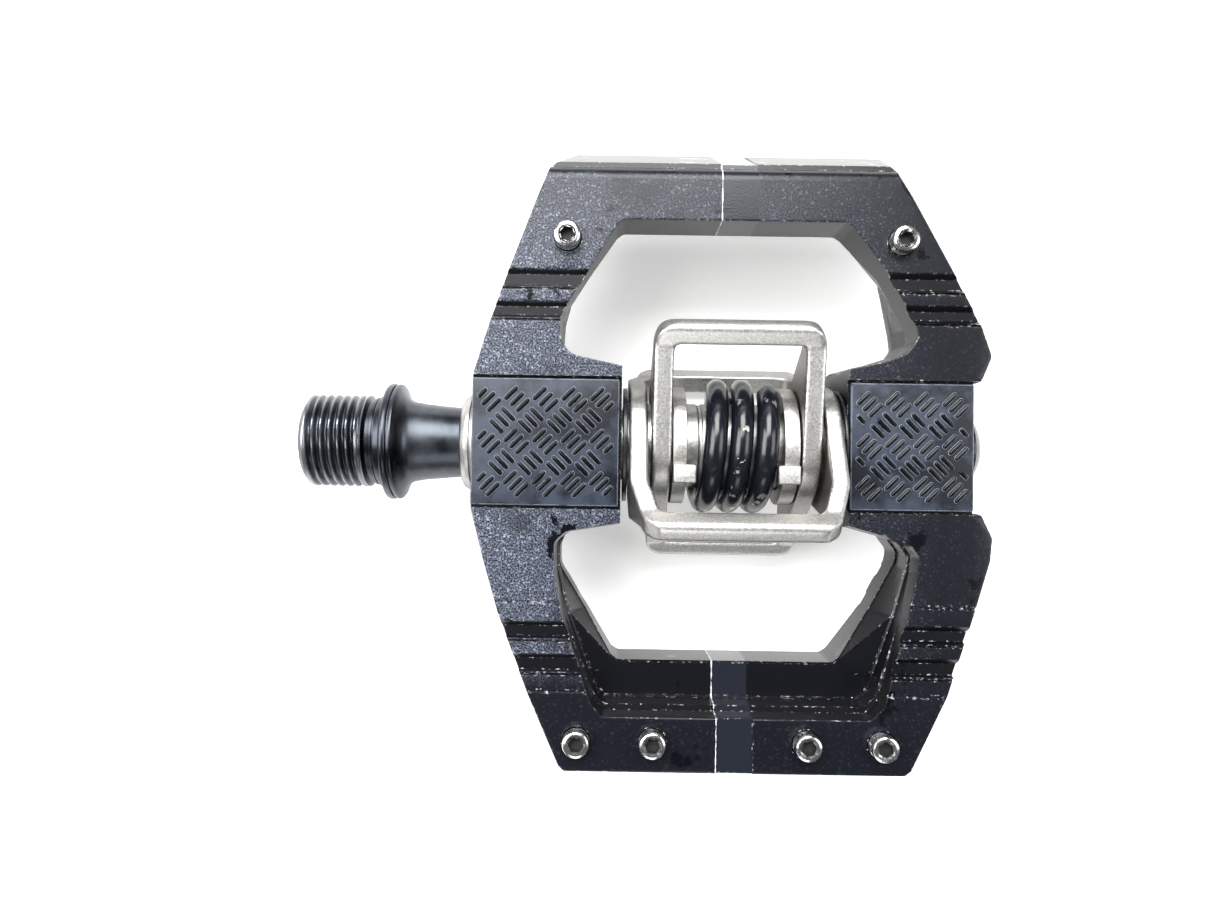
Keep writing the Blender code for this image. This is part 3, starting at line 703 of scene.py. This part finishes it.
def rimRings():
    # The side profile differs above and below, because the frame is the same after a half turn.
    half, steps = platform["halfThick"], 4
    top = [Vector(p) for p in rimBack] + [Vector(p) for p in rimFront][::-1]
    bottom = [Vector((p[0], -p[1])) for p in rimFront] + [Vector((p[0], -p[1])) for p in rimBack][::-1]
    radii = rimRadii + rimRadii[::-1]

    def ring(share, shrink, z):
        corners = [a.lerp(b, share) for a, b in zip(bottom, top)]
        return [(p.x, p.y, z) for p in roundCorners(grownCorners(corners, -shrink), radii, steps)]

    edge = platform["edge"]
    levels = [(0.0, 1.0, 0.0), (0.0, 0.3, 0.3), (0.03, 0.0, 1.0)]
    rings = [ring(share, shrink * edge, -half + rise * edge) for share, shrink, rise in levels]
    rings += [ring(1 - share, shrink * edge, half - rise * edge) for share, shrink, rise in levels[::-1]]
    return rings


def roundedEndTool():
    # Takes the back end's upper edge down to a soft round.
    radius, middleY, middleZ = 2.2, 39.3, 5.8
    arc = [(middleY + radius * math.cos(a), middleZ + radius * math.sin(a))
           for a in (math.radians(6 * k) for k in range(2, 16))]
    section = [(50, arc[0][1] - 1.0), *arc, (middleY, 12.0), (50, 12.0)]
    return barTool("roundedEndTool", section, -40, 40)


def blockTool(name, low, high, bevel=0.0):
    low, high = Vector(low), Vector(high)
    bm = bmesh.new()
    place = Matrix.Translation((low + high) / 2) @ Matrix.Diagonal((*(high - low), 1.0))
    bmesh.ops.create_cube(bm, size=1.0, matrix=place)
    if bevel:
        bmesh.ops.bevel(bm, geom=bm.edges, offset=bevel, segments=3, affect="EDGES", profile=0.6)
    return fromBmesh(name, bm)


def pinHoleTool():
    bm = bmesh.new()
    radius, low, high = platform["pinHole"], 4.0, 11.0
    for x, y in platform["pinSpots"]:
        bmesh.ops.create_cone(bm, cap_ends=True, segments=40, radius1=radius, radius2=radius,
                              depth=high - low, matrix=Matrix.Translation((x, y, (low + high) / 2)))
    return fromBmesh("pinHoleTool", bm)


def buildPlatform():
    p = platform
    bm = bmesh.new()
    loftRings(bm, rimRings())
    body = fromBmesh("platformFrame", bm, True)
    for turn in (Matrix.Identity(4), halfTurn):
        tools = [windowTool(), stepTool(), roundedEndTool(), *bandTool(), pinHoleTool()]
        tools += [grooveTool(*values) for values in p["grooves"]]
        tools += [lineTool(*values) for values in p["lines"]]
        for left, right in ((p["left"] - 2, p["bossIn"] + 1), (p["bossOut"] - 1, 42.0)):
            tools.append(blockTool("padTool", (left, -p["padHalfY"], p["padFloor"]),
                                   (right, p["padHalfY"], 10.0)))
        for tool in tools:
            tool.data.transform(turn)
            combine(body, tool)
    combine(body, blockTool("openingTool", (p["bossIn"], -12.5, -10.0), (p["bossOut"], 12.5, 10.0)))
    combine(body, rodTool("boreTool", "X", -42, 42, p["boreRadius"], 64))
    combine(body, rodTool("sealBoreTool", "X", -42, p["sealBoreEnd"], p["sealBoreRadius"], 64))
    finishPiece(body, finishes["alloy"], "platform", ["platform_frame"])
    # Large faces set the shading, so the softened edges don't bend it.
    weighted = body.modifiers.new("weighted", "WEIGHTED_NORMAL")
    weighted.keep_sharp = True
    weighted.weight = 100
    bpy.context.view_layer.update()
    applyModifiers(body)


buildPlatform()
print("platform frame built")


# Traction pads: a plate with a basket-weave of short ribs grown on it

pads = {
    "halfY": 9.42, "top": 7.9, "bottom": 6.85, "edge": 0.28,
    "spans": {"inboard": (-38.6, -16.75, 5), "outboard": (17.45, 35.65, 4)},
    "rows": 5, "rowPitch": 3.12, "columnPitch": 4.24, "ribStep": 0.88,
    "ribLength": 2.75, "ribWidth": 0.66, "ribHeight": 0.34,
}


def ribTemplate():
    # One rib: a stadium with a crowned top, lying along X.
    bm = bmesh.new()
    half, wide = (pads["ribLength"] - pads["ribWidth"]) / 2, pads["ribWidth"] / 2
    rings = []
    for grow, height in ((0.0, -0.1), (0.0, 0.3), (-0.05, 0.62), (-0.12, 0.84), (-0.2, 0.96), (-0.28, 1.0)):
        ring = []
        for side, turn in ((1, -90), (-1, 90)):
            for step in range(6):
                angle = math.radians(turn + 36 * step)
                ring.append((side * half + (wide + grow) * math.cos(angle),
                             (wide + grow) * math.sin(angle), height * pads["ribHeight"]))
        rings.append(ring)
    loftRings(bm, rings)
    return fromBmesh("ribTemplate", bm)


def geometryTree(name, entries):
    tree = bpy.data.node_groups.new(name, "GeometryNodeTree")
    for label, kind, value in entries:
        socket = tree.interface.new_socket(label, in_out="INPUT", socket_type=kind)
        if value is not None:
            socket.default_value = value
    tree.interface.new_socket("Geometry", in_out="OUTPUT", socket_type="NodeSocketGeometry")
    return tree, tree.nodes.new("NodeGroupInput"), tree.nodes.new("NodeGroupOutput")


def addGeometryNodes(obj, tree, values):
    modifier = obj.modifiers.new(tree.name, "NODES")
    modifier.node_group = tree
    for item in tree.interface.items_tree:
        if item.item_type == "SOCKET" and item.in_out == "INPUT" and item.name in values:
            modifier[item.identifier] = values[item.name]
    bpy.context.view_layer.update()
    return applyModifiers(obj)


def ribTree():
    tree, source, target = geometryTree("basketWeaveRibs", [
        ("Geometry", "NodeSocketGeometry", None), ("Rib", "NodeSocketObject", None),
        ("Rows", "NodeSocketInt", 5), ("Columns", "NodeSocketInt", 5),
        ("Row Pitch", "NodeSocketFloat", 3.0), ("Column Pitch", "NodeSocketFloat", 4.0),
        ("Rib Step", "NodeSocketFloat", 0.9), ("Half Length", "NodeSocketFloat", 10.0),
        ("Height", "NodeSocketFloat", 8.0), ("Finish", "NodeSocketMaterial", None)])
    ribsPerRow = product(tree, addMath(tree, "ADD", (source, "Columns"), 1.0), 3.0)
    total = product(tree, ribsPerRow, (source, "Rows"))
    points = tree.nodes.new("GeometryNodePoints")
    wire(tree, total, 0, points, "Count")
    index = tree.nodes.new("GeometryNodeInputIndex")
    row = addMath(tree, "FLOOR", addMath(tree, "DIVIDE", index, ribsPerRow))
    inRow = addMath(tree, "MODULO", index, ribsPerRow)
    group = addMath(tree, "FLOOR", addMath(tree, "DIVIDE", inRow, 3.0))
    member = addMath(tree, "SUBTRACT", addMath(tree, "MODULO", inRow, 3.0), 1.0)
    odd = addMath(tree, "MODULO", row, 2.0)
    lean = addMath(tree, "SUBTRACT", product(tree, odd, 2.0), 1.0)
    shift = product(tree, member, (source, "Rib Step"))
    middle = addMath(tree, "DIVIDE", addMath(tree, "SUBTRACT", (source, "Columns"), 1.0), 2.0)
    column = addMath(tree, "SUBTRACT", addMath(tree, "SUBTRACT", group, middle),
                     product(tree, odd, 0.5))
    x = addMath(tree, "MULTIPLY_ADD", column, (source, "Column Pitch"), shift)
    rowMiddle = addMath(tree, "DIVIDE", addMath(tree, "SUBTRACT", (source, "Rows"), 1.0), 2.0)
    rowY = product(tree, addMath(tree, "SUBTRACT", rowMiddle, row), (source, "Row Pitch"))
    y = addMath(tree, "MULTIPLY_ADD", shift, lean, rowY)
    spot = tree.nodes.new("ShaderNodeCombineXYZ")
    for entry, value in enumerate(((x, 0), (y, 0), (source, "Height"))):
        wire(tree, value[0], value[1], spot, entry)
    wire(tree, spot, 0, points, "Position")

    room = addMath(tree, "SUBTRACT", (source, "Half Length"), addMath(tree, "ABSOLUTE", x))
    fit = addMath(tree, "DIVIDE", addMath(tree, "SUBTRACT", room, 0.3), 1.0, clamp=True)
    keep = tree.nodes.new("GeometryNodeInstanceOnPoints")
    wire(tree, points, 0, keep, "Points")
    wire(tree, addMath(tree, "GREATER_THAN", fit, 0.35), 0, keep, "Selection")
    rib = tree.nodes.new("GeometryNodeObjectInfo")
    wire(tree, source, "Rib", rib, "Object")
    wire(tree, rib, "Geometry", keep, "Instance")
    turn = tree.nodes.new("ShaderNodeCombineXYZ")
    wire(tree, product(tree, lean, -math.radians(45)), 0, turn, 2)
    wire(tree, turn, 0, keep, "Rotation")
    scale = tree.nodes.new("ShaderNodeCombineXYZ")
    scale.inputs[1].default_value = 1.0
    scale.inputs[2].default_value = 1.0
    wire(tree, fit, 0, scale, 0)
    wire(tree, scale, 0, keep, "Scale")
    realize = tree.nodes.new("GeometryNodeRealizeInstances")
    wire(tree, keep, 0, realize, 0)
    join = tree.nodes.new("GeometryNodeJoinGeometry")
    wire(tree, realize, 0, join, 0)
    wire(tree, source, "Geometry", join, 0)
    paint = tree.nodes.new("GeometryNodeSetMaterial")
    wire(tree, join, 0, paint, 0)
    wire(tree, source, "Finish", paint, "Material")
    wire(tree, paint, 0, target, 0)
    return tree


def buildPads():
    rib, tree = ribTemplate(), ribTree()
    for side, turn in (("top", Matrix.Identity(4)), ("bottom", halfTurn)):
        for end, (left, right, columns) in pads["spans"].items():
            half = (right - left) / 2
            pad = blockTool("tractionPad_" + side + "_" + end, (-half, -pads["halfY"], pads["bottom"]),
                            (half, pads["halfY"], pads["top"]), pads["edge"])
            addGeometryNodes(pad, tree, {
                "Rib": rib, "Rows": pads["rows"], "Columns": columns, "Row Pitch": pads["rowPitch"],
                "Column Pitch": pads["columnPitch"], "Rib Step": pads["ribStep"], "Half Length": half - 0.6,
                "Height": pads["top"], "Finish": finishes["pad"]})
            pad.data.transform(turn @ Matrix.Translation(((left + right) / 2, 0, 0)))
            finishPiece(pad, finishes["pad"], "platform", [f"traction_pad_{side}_{end}"])
    bpy.data.objects.remove(rib)


buildPads()
print("traction pads built")


# Traction pins: one threaded stud, set on every pin spot

pins = {"radius": 2.0, "bottom": 4.3, "top": 10.4, "pitch": 0.7, "threadDepth": 0.22, "socket": 2.0,
        "socketDepth": 1.6, "steps": 32}


def threadRadius(x, angle, start, end, major, depth, pitch):
    # Radius of a screw thread that fades in and out at its two ends.
    phase = (x / pitch - angle / (2 * math.pi)) % 1.0
    wave = abs(phase * 2 - 1)
    tooth = min(1.0, max(0.0, wave * 1.35 - 0.12))
    fade = min(1.0, max(0.0, (x - start) / pitch), max(0.0, (end - x) / pitch))
    return major - depth * tooth * max(0.0, fade)


def threadedSurface(name, rings, start, end, major, depth, pitch, steps):
    # Rings are (x, radius or None); None takes the thread's own radius.
    bm = bmesh.new()
    made = []
    for x, r in rings:
        ring = []
        for s in range(steps):
            angle = 2 * math.pi * s / steps
            radius = threadRadius(x, angle, start, end, major, depth, pitch) if r is None else r
            ring.append(bm.verts.new((x, radius * math.cos(angle), radius * math.sin(angle))))
        made.append(ring)
    for low, high in zip(made, made[1:]):
        for s in range(steps):
            t = (s + 1) % steps
            bm.faces.new((low[s], low[t], high[t], high[s]))
    bm.faces.new(made[0][::-1])
    bm.faces.new(made[-1])
    return fromBmesh(name, bm)


def pinTemplate():
    low, high, radius = pins["bottom"], pins["top"], pins["radius"]
    rings = [(low, radius - 0.5), (low + 0.35, radius - 0.15)]
    count = int((high - 0.75 - low - 0.5) / (pins["pitch"] / 6))
    rings += [(low + 0.5 + i * pins["pitch"] / 6, None) for i in range(count + 1)]
    rings += [(high - 0.6, radius), (high - 0.32, radius - 0.03), (high - 0.12, radius - 0.16),
              (high - 0.02, radius - 0.38), (high, radius - 0.55)]
    stud = threadedSurface("pinTemplate", rings, low + 0.5, high - 0.75, radius, pins["threadDepth"],
                           pins["pitch"], pins["steps"])
    combine(stud, rodTool("pinSocketTool", "X", high - pins["socketDepth"], high + 1,
                          hexRadius(pins["socket"]), 6))
    bm = bmesh.new()
    bmesh.ops.create_cone(bm, cap_ends=True, segments=32, radius1=1.08, radius2=1.6, depth=0.5,
                          matrix=Matrix.Translation((high, 0, 0)) @ Matrix.Rotation(math.pi / 2, 4, "Y"))
    combine(stud, fromBmesh("socketChamferTool", bm))
    stud.data.transform(Matrix.Rotation(-math.pi / 2, 4, "Y"))
    inside = stud.data.attributes.new("inSocket", "BOOLEAN", "FACE")
    for face in stud.data.polygons:
        centre = face.center
        deep = low + 1 < centre.z < high - 0.3
        inside.data[face.index].value = deep and math.hypot(centre.x, centre.y) < 1.2
    return stud


def pinTree():
    tree, source, target = geometryTree("pinsOnSpots", [
        ("Geometry", "NodeSocketGeometry", None), ("Pin", "NodeSocketObject", None),
        ("Seed", "NodeSocketInt", 7), ("Finish", "NodeSocketMaterial", None),
        ("Socket Finish", "NodeSocketMaterial", None)])
    place = tree.nodes.new("GeometryNodeInputPosition")
    split = tree.nodes.new("ShaderNodeSeparateXYZ")
    wire(tree, place, 0, split, 0)
    below = addMath(tree, "LESS_THAN", (split, 2), 0.0)
    spin = tree.nodes.new("FunctionNodeRandomValue")
    spin.data_type = "FLOAT"
    spin.inputs[3].default_value = 2 * math.pi
    wire(tree, source, "Seed", spin, "Seed")
    turn = tree.nodes.new("ShaderNodeCombineXYZ")
    wire(tree, product(tree, below, math.pi), 0, turn, 0)
    wire(tree, spin, 1, turn, 2)
    setOn = tree.nodes.new("GeometryNodeInstanceOnPoints")
    wire(tree, source, "Geometry", setOn, "Points")
    stud = tree.nodes.new("GeometryNodeObjectInfo")
    wire(tree, source, "Pin", stud, "Object")
    wire(tree, stud, "Geometry", setOn, "Instance")
    wire(tree, turn, 0, setOn, "Rotation")
    ground = tree.nodes.new("GeometryNodeSetPosition")
    flatten = tree.nodes.new("ShaderNodeCombineXYZ")
    wire(tree, product(tree, (split, 2), -1.0), 0, flatten, 2)
    wire(tree, setOn, 0, ground, "Geometry")
    wire(tree, flatten, 0, ground, "Offset")
    realize = tree.nodes.new("GeometryNodeRealizeInstances")
    wire(tree, ground, 0, realize, 0)
    paint = tree.nodes.new("GeometryNodeSetMaterial")
    wire(tree, realize, 0, paint, 0)
    wire(tree, source, "Finish", paint, "Material")
    # Faces deep in each hex socket take the near-black finish as painted shade.
    mark = tree.nodes.new("GeometryNodeInputNamedAttribute")
    mark.data_type = "BOOLEAN"
    mark.inputs["Name"].default_value = "inSocket"
    darken = tree.nodes.new("GeometryNodeSetMaterial")
    wire(tree, paint, 0, darken, 0)
    wire(tree, mark, "Attribute", darken, "Selection")
    wire(tree, source, "Socket Finish", darken, "Material")
    wire(tree, darken, 0, target, 0)
    return tree


def buildPins():
    stud = pinTemplate()
    bm = bmesh.new()
    for x, y in platform["pinSpots"]:
        bm.verts.new((x, y, 1.0))
        bm.verts.new((x, -y, -1.0))
    spots = fromBmesh("tractionPins", bm)
    addGeometryNodes(spots, pinTree(), {"Pin": stud, "Seed": 7, "Finish": finishes["pin"],
                                           "Socket Finish": finishes["socketShade"]})
    bpy.data.objects.remove(stud)
    names = [f"traction_pin_{side}_{n}" for side in ("top", "bottom") for n in range(1, 7)]
    finishPiece(spots, None, "platform", names, 30)


buildPins()
print("traction pins built")


# Spindle with its rolled thread, double-rimmed flange and tapered neck

spindle = {
    "threadEnd": -64.9, "crankFace": -52.3, "threadRadius": 7.145, "threadDepth": 0.74, "pitch": 1.27,
    "threadStart": -64.2, "threadStop": -55.2, "steps": 96, "slices": 10,
    "socket": 8.0, "socketDepth": 7.0,
}


def buildSpindle():
    s = spindle
    face = s["crankFace"]
    tip = s["threadEnd"]
    rings = [(tip, 4.9), (tip, 5.9), (tip + 0.12, 6.2), (tip + 0.7, 6.75)]
    count = int((s["threadStop"] - s["threadStart"]) / s["pitch"] * s["slices"])
    rings += [(s["threadStart"] + i * s["pitch"] / s["slices"], None) for i in range(1, count + 1)]
    shape = [(s["threadStop"] + 0.1, 6.5), (face - 2.6, 6.25), (face - 2.1, 6.25), (face - 1.98, 6.7),
             (face - 1.9, 6.8), (face - 1.5, 6.8), (face - 1.42, 6.65), (face - 1.3, 6.65),
             (face - 1.22, 6.95), (face - 1.1, 7.02), (face - 0.4, 7.02), (face - 0.1, 7.1), (face, 7.35),
             (face, 8.6), (face + 0.12, 8.85), (face + 0.4, 9.0), (face + 0.85, 9.0), (face + 1.08, 8.86),
             (face + 1.16, 8.6), (face + 1.26, 8.6), (face + 1.34, 8.84), (face + 1.6, 8.95),
             (face + 1.85, 8.9), (face + 2.1, 8.6), (face + 2.35, 8.0), (face + 2.6, 7.4),
             (face + 2.95, 6.85), (face + 3.4, 6.45), (face + 4.0, 6.2), (face + 5.7, 5.9), (-43.0, 5.55),
             (-40.9, 5.4), (-36.4, 5.3), (-36.0, 4.5), (20.4, 4.5), (22.3, 3.1), (22.3, 2.5), (26.8, 2.5),
             (27.0, 2.2), (30.8, 2.2), (31.2, 1.8)]
    rings += shape
    body = threadedSurface("spindleShaft", rings, s["threadStart"], s["threadStop"], s["threadRadius"],
                           s["threadDepth"], s["pitch"], s["steps"])
    combine(body, rodTool("socketTool", "X", tip - 1, tip + s["socketDepth"], hexRadius(s["socket"]), 6))
    bm = bmesh.new()
    bmesh.ops.create_cone(bm, cap_ends=True, segments=48, radius1=5.1, radius2=4.1, depth=1.0,
                          matrix=Matrix.Translation((tip, 0, 0)) @ Matrix.Rotation(math.pi / 2, 4, "Y"))
    combine(body, fromBmesh("socketChamferTool", bm))
    finishPiece(body, finishes["spindle"], "spindle", ["spindle"], 38)


buildSpindle()
print("spindle built")


# Turned rings: inboard seal, sleeve, washers, collars, end cap

def buildSeal():
    profile = softProfile([(-40.7, 5.65), (-40.7, 6.3), (-40.4, 6.95), (-39.75, 7.32), (-39.2, 7.35),
                          (-39.12, 7.1), (-38.95, 7.1), (-38.9, 7.35), (-38.4, 7.35), (-38.4, 6.2),
                          (-36.4, 6.2), (-36.4, 5.65)], 0.14, 3, True)
    seal = lathe("inboardSealRing", profile, 96, True)
    finishPiece(seal, finishes["sleeve"], "platform", ["inboard_seal"])


def buildHub():
    profile = softProfile([(-19.5, 5.0), (-19.5, 5.45), (-16.1, 5.45), (-16.1, 6.5), (-4.9, 6.5), (-4.7, 6.3),
                          (-4.3, 6.3), (-4.1, 6.5), (16.9, 6.5), (16.9, 5.45), (20.2, 5.45), (20.2, 5.0)],
                          0.1, 2, True)
    sleeve = lathe("wingSleeve", profile, 72, True)
    finishPiece(sleeve, finishes["sleeve"], "platform", ["wing_sleeve"])
    for end, left, right in (("inboard", -16.1, -15.5), ("outboard", 16.6, 17.05)):
        ring = softProfile([(left, 6.85), (left, 8.8), (right, 8.8), (right, 6.85)], 0.15, 3, True)
        washer = lathe("wingWasher_" + end, ring, 72, True)
        finishPiece(washer, finishes["plastic"], "platform", ["wing_washer_" + end])


collars = {"radius": 9.0, "innerRadius": 6.75, "tabLow": 7.2, "tabHigh": 9.6, "tabNear": -3.0, "tabFar": -5.8,
           "ends": {"inboard": (-8.8, -6.7, -5.4), "outboard": (7.6, 9.9, 6.6)}}


def buildCollars():
    c = collars
    for end, (left, right, reach) in c["ends"].items():
        ring = softProfile([(left, c["innerRadius"]), (left, c["radius"]), (right, c["radius"]),
                            (right, c["innerRadius"])], 0.22, 3, True)
        collar = lathe("stopCollar_" + end, ring, 72, True)
        low, high = min(left, reach), max(right, reach)
        for turn in (Matrix.Identity(4), halfTurn):
            tab = blockTool("tabTool", (low, c["tabFar"], c["tabLow"]), (high, c["tabNear"], c["tabHigh"]),
                            0.35)
            tab.data.transform(turn)
            combine(collar, tab, "UNION")
        finishPiece(collar, finishes["stainless"], "platform", ["stop_collar_" + end])


def buildCap():
    profile = softProfile([(31.9, 0), (31.9, 5.3), (32.1, 5.45), (36.15, 5.45), (36.15, 6.0), (36.8, 5.9),
                           (37.6, 4.9), (38.2, 3.9), (38.5, 3.3), (38.5, 0)], 0.2, 3)
    cap = lathe("endCap", profile, 72)
    combine(cap, rodTool("capSocketTool", "X", 34.2, 40, hexRadius(5.0), 6))
    finishPiece(cap, finishes["plastic"], "platform", ["end_cap"])


buildSeal()
buildHub()
buildCollars()
buildCap()
print("turned pieces built")


# Wings: two hub plates each, with a bar across either end, fused and softened like a casting

wings = {
    "barRadius": 19.87, "hubRadius": 9.2, "boreRadius": 6.85, "voxel": 0.22, "smoothing": 30,
    "inner": {"angle": 35.4, "middle": 0.55, "bar": 3.15,
              "corners": ((12.5, 21.5),), "cornerRadius": 3.9,
              "window": ((9.55, 18.35),), "windowRadius": 1.1},
    "outer": {"angle": 126.8, "middle": 0.5, "bar": 3.25,
              "corners": ((15.75, 13.6), (13.7, 19.8), (11.4, 21.7)), "cornerRadius": 2.0,
              "window": ((13.0, 13.6), (11.3, 18.3)), "windowRadius": 1.6},
}


def wingSide(size):
    # Hub disc with a tapering arm to each squared bar, seen along the spindle.
    points, half, hub = [], size["bar"] / 2, wings["hubRadius"]
    inner, end = wings["barRadius"] - half, wings["barRadius"] + half
    lean = math.atan2(half, inner) + math.acos(hub / math.hypot(inner, half))
    for arm in (0.0, math.pi):
        start = math.radians(size["angle"]) + arm
        along = Vector((math.cos(start), math.sin(start)))
        across = Vector((-math.sin(start), math.cos(start)))
        tip = roundCorners([(inner, -half), (end, -half), (end, half), (inner, half)], 1.1, 5, closed=False)
        points += [along * r + across * w for r, w in tip]
        points += [Vector((math.cos(turn), math.sin(turn))) * hub
                   for turn in (start + lean + (math.pi - 2 * lean) * step / 16 for step in range(17))]
    left, right = (size["middle"] + side * (size["corners"][0][0] + 0.5) for side in (-1, 1))
    bm = bmesh.new()
    loftRings(bm, [[(x, p.x, p.y) for p in points] for x in (left, right)])
    return fromBmesh("wingSide", bm)


def wingPrism(size, corners, radius):
    # A prism square to the wing's flat, from one end's corners and their mirror images.
    middle, angle = size["middle"], math.radians(size["angle"])
    cosine, sine = math.cos(angle), math.sin(angle)
    right, left = ([(middle + side * x, r) for x, r in corners] for side in (1, -1))
    outline = right + left[::-1] + [(x, -r) for x, r in left] + [(x, -r) for x, r in right[::-1]]
    bm = bmesh.new()
    loftRings(bm, [[(p.x, p.y * cosine - h * sine, p.y * sine + h * cosine)
                    for p in roundCorners(outline, radius, 6)] for h in (-12.0, 12.0)])
    return fromBmesh("wingPrism", bm)


def buildWing(name, size, body):
    wing = wingSide(size)
    wing.name = name + "Wing"
    combine(wing, wingPrism(size, size["corners"], size["cornerRadius"]), "INTERSECT")
    combine(wing, wingPrism(size, size["window"], size["windowRadius"]))
    combine(wing, rodTool("wingBore", "X", -20, 20, wings["boreRadius"], 64))
    remesh = wing.modifiers.new("fuse", "REMESH")
    remesh.mode = "VOXEL"
    remesh.voxel_size = wings["voxel"]
    smooth = wing.modifiers.new("soften", "SMOOTH")
    smooth.iterations = wings["smoothing"]
    smooth.factor = 0.5
    bpy.context.view_layer.update()
    applyModifiers(wing)
    finishPiece(wing, finishes["stainless"], body, [body], 0)
    wing.data.shade_smooth()


buildWing("inner", wings["inner"], "inner_wing")
buildWing("outer", wings["outer"], "outer_wing")
print("wings built")


# Torsion spring: a close coil with rounded wire ends

coil = {"radius": 8.7, "wire": 1.7, "start": -4.5, "startAngle": 275.0, "pitch": 3.8, "turns": 2.7,
        "stepsPerTurn": 64, "sides": 24}


def buildSpring():
    count = int(coil["turns"] * coil["stepsPerTurn"])
    bm = bmesh.new()
    rings = []

    def point(i):
        turn = math.radians(coil["startAngle"]) - 2 * math.pi * i / coil["stepsPerTurn"]
        return Vector((coil["start"] + coil["pitch"] * i / coil["stepsPerTurn"],
                       coil["radius"] * math.cos(turn), coil["radius"] * math.sin(turn)))

    for i in range(count + 1):
        along = (point(i + 1) - point(i - 1)).normalized()
        out = point(i) - Vector((point(i).x, 0, 0))
        out = (out - along * out.dot(along)).normalized()
        side = along.cross(out)
        rings.append([point(i) + (out * math.cos(a) + side * math.sin(a)) * coil["wire"]
                      for a in (2 * math.pi * k / coil["sides"] for k in range(coil["sides"]))])
    loftRings(bm, rings)
    ends = [e for e in bm.edges if any(len(f.verts) > 4 for f in e.link_faces)]
    bmesh.ops.bevel(bm, geom=ends, offset=0.3, segments=2, affect="EDGES", profile=0.6)
    spring = fromBmesh("torsionSpring", bm)
    finishPiece(spring, finishes["spring"], "platform", ["torsion_spring"], 40)


buildSpring()
print("spring built")


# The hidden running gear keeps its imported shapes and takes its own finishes

hidden = {
    "ground": ("bearing_inner_ring", "bearing_outer_ring", "thrust_washer", "lock_nut"),
    "bronze": ("bearing_ball_cage",),
    "rubber": ("bearing_shield_inner", "bearing_shield_outer", "inner_lip_seal", "end_cap_oring"),
    "plastic": ("glide_bushing",),
}
for finish, nodes in hidden.items():
    for node in nodes:
        mesh = frame["nodes"][node].data
        mesh.materials.clear()
        mesh.materials.append(finishes[finish])


# Floor, light and camera

studio = {"floorDrop": 0.0004, "floorSize": 2.4, "camera": (-18.2, -4.76, 142.5), "lens": 27.05,
          "roll": 0.87, "pitch": 1.22, "yaw": 0.12,
          "softboxes": (("leftBox", -0.60, 0.12, 9.5), ("rightBox", 0.80, 0.05, 4.5),
                        ("backBox", -0.05, 0.54, 13.5), ("frontBox", -0.05, -1.0, 3.0)),
          "skyStrength": 0.14, "floorGlow": 0.5}


def buildFloor():
    bm = bmesh.new()
    bmesh.ops.create_grid(bm, x_segments=1, y_segments=1, size=studio["floorSize"] / 2)
    floor = fromBmesh("floor", bm)
    floor.location.z = cadLow.z - studio["floorDrop"]
    material, tree, shader, place = startMaterial("paleCloth", (0.86, 0.86, 0.85), 0.0, 0.85)
    mottle = placeGroup(tree, patchGroup, place, Size=9.0, Cover=0.5, Softness=0.6)
    base = addColourMix(tree, (mottle, "Mask"), (0.84, 0.84, 0.83), (0.90, 0.90, 0.89))
    wire(tree, base, 2, shader, "Base Color")
    wire(tree, base, 2, shader, "Emission Color")
    shader.inputs["Emission Strength"].default_value = studio["floorGlow"]
    floor.data.materials.append(material)


def addLight(name, place, aim, size, power, colour=(1, 1, 1)):
    data = bpy.data.lights.new(name, "AREA")
    data.shape = "RECTANGLE"
    data.size, data.size_y = size
    data.energy = power
    data.color = colour
    light = bpy.data.objects.new(name, data)
    bpy.context.scene.collection.objects.link(light)
    light.location = place
    light.rotation_euler = (Vector(aim) - Vector(place)).to_track_quat("-Z", "Y").to_euler()
    return light


def buildStudio():
    buildFloor()
    scene = bpy.context.scene
    world = bpy.data.worlds.new("studio")
    scene.world = world
    world.use_nodes = True
    world.node_tree.nodes["Background"].inputs["Color"].default_value = (0.95, 0.97, 1.0, 1)
    world.node_tree.nodes["Background"].inputs["Strength"].default_value = studio["skyStrength"]
    for name, across, along, power in studio["softboxes"]:
        addLight(name, (across, along, 0.72), (0, 0, 0), (0.6, 0.6), power)
    camera = bpy.data.objects.new("camera", bpy.data.cameras.new("camera"))
    scene.collection.objects.link(camera)
    camera.data.lens = studio["lens"]
    camera.data.sensor_width = 36.0
    camera.data.clip_start = 0.005
    camera.location = toWorld @ Vector(studio["camera"])
    pitch, yaw, roll = (Matrix.Rotation(math.radians(studio[turn]), 4, axis)
                        for turn, axis in (("pitch", "X"), ("yaw", "Y"), ("roll", "Z")))
    camera.rotation_euler = (pitch @ yaw @ roll).to_euler()
    scene.camera = camera
    scene.view_settings.view_transform = "Standard"


buildStudio()
print("studio built")
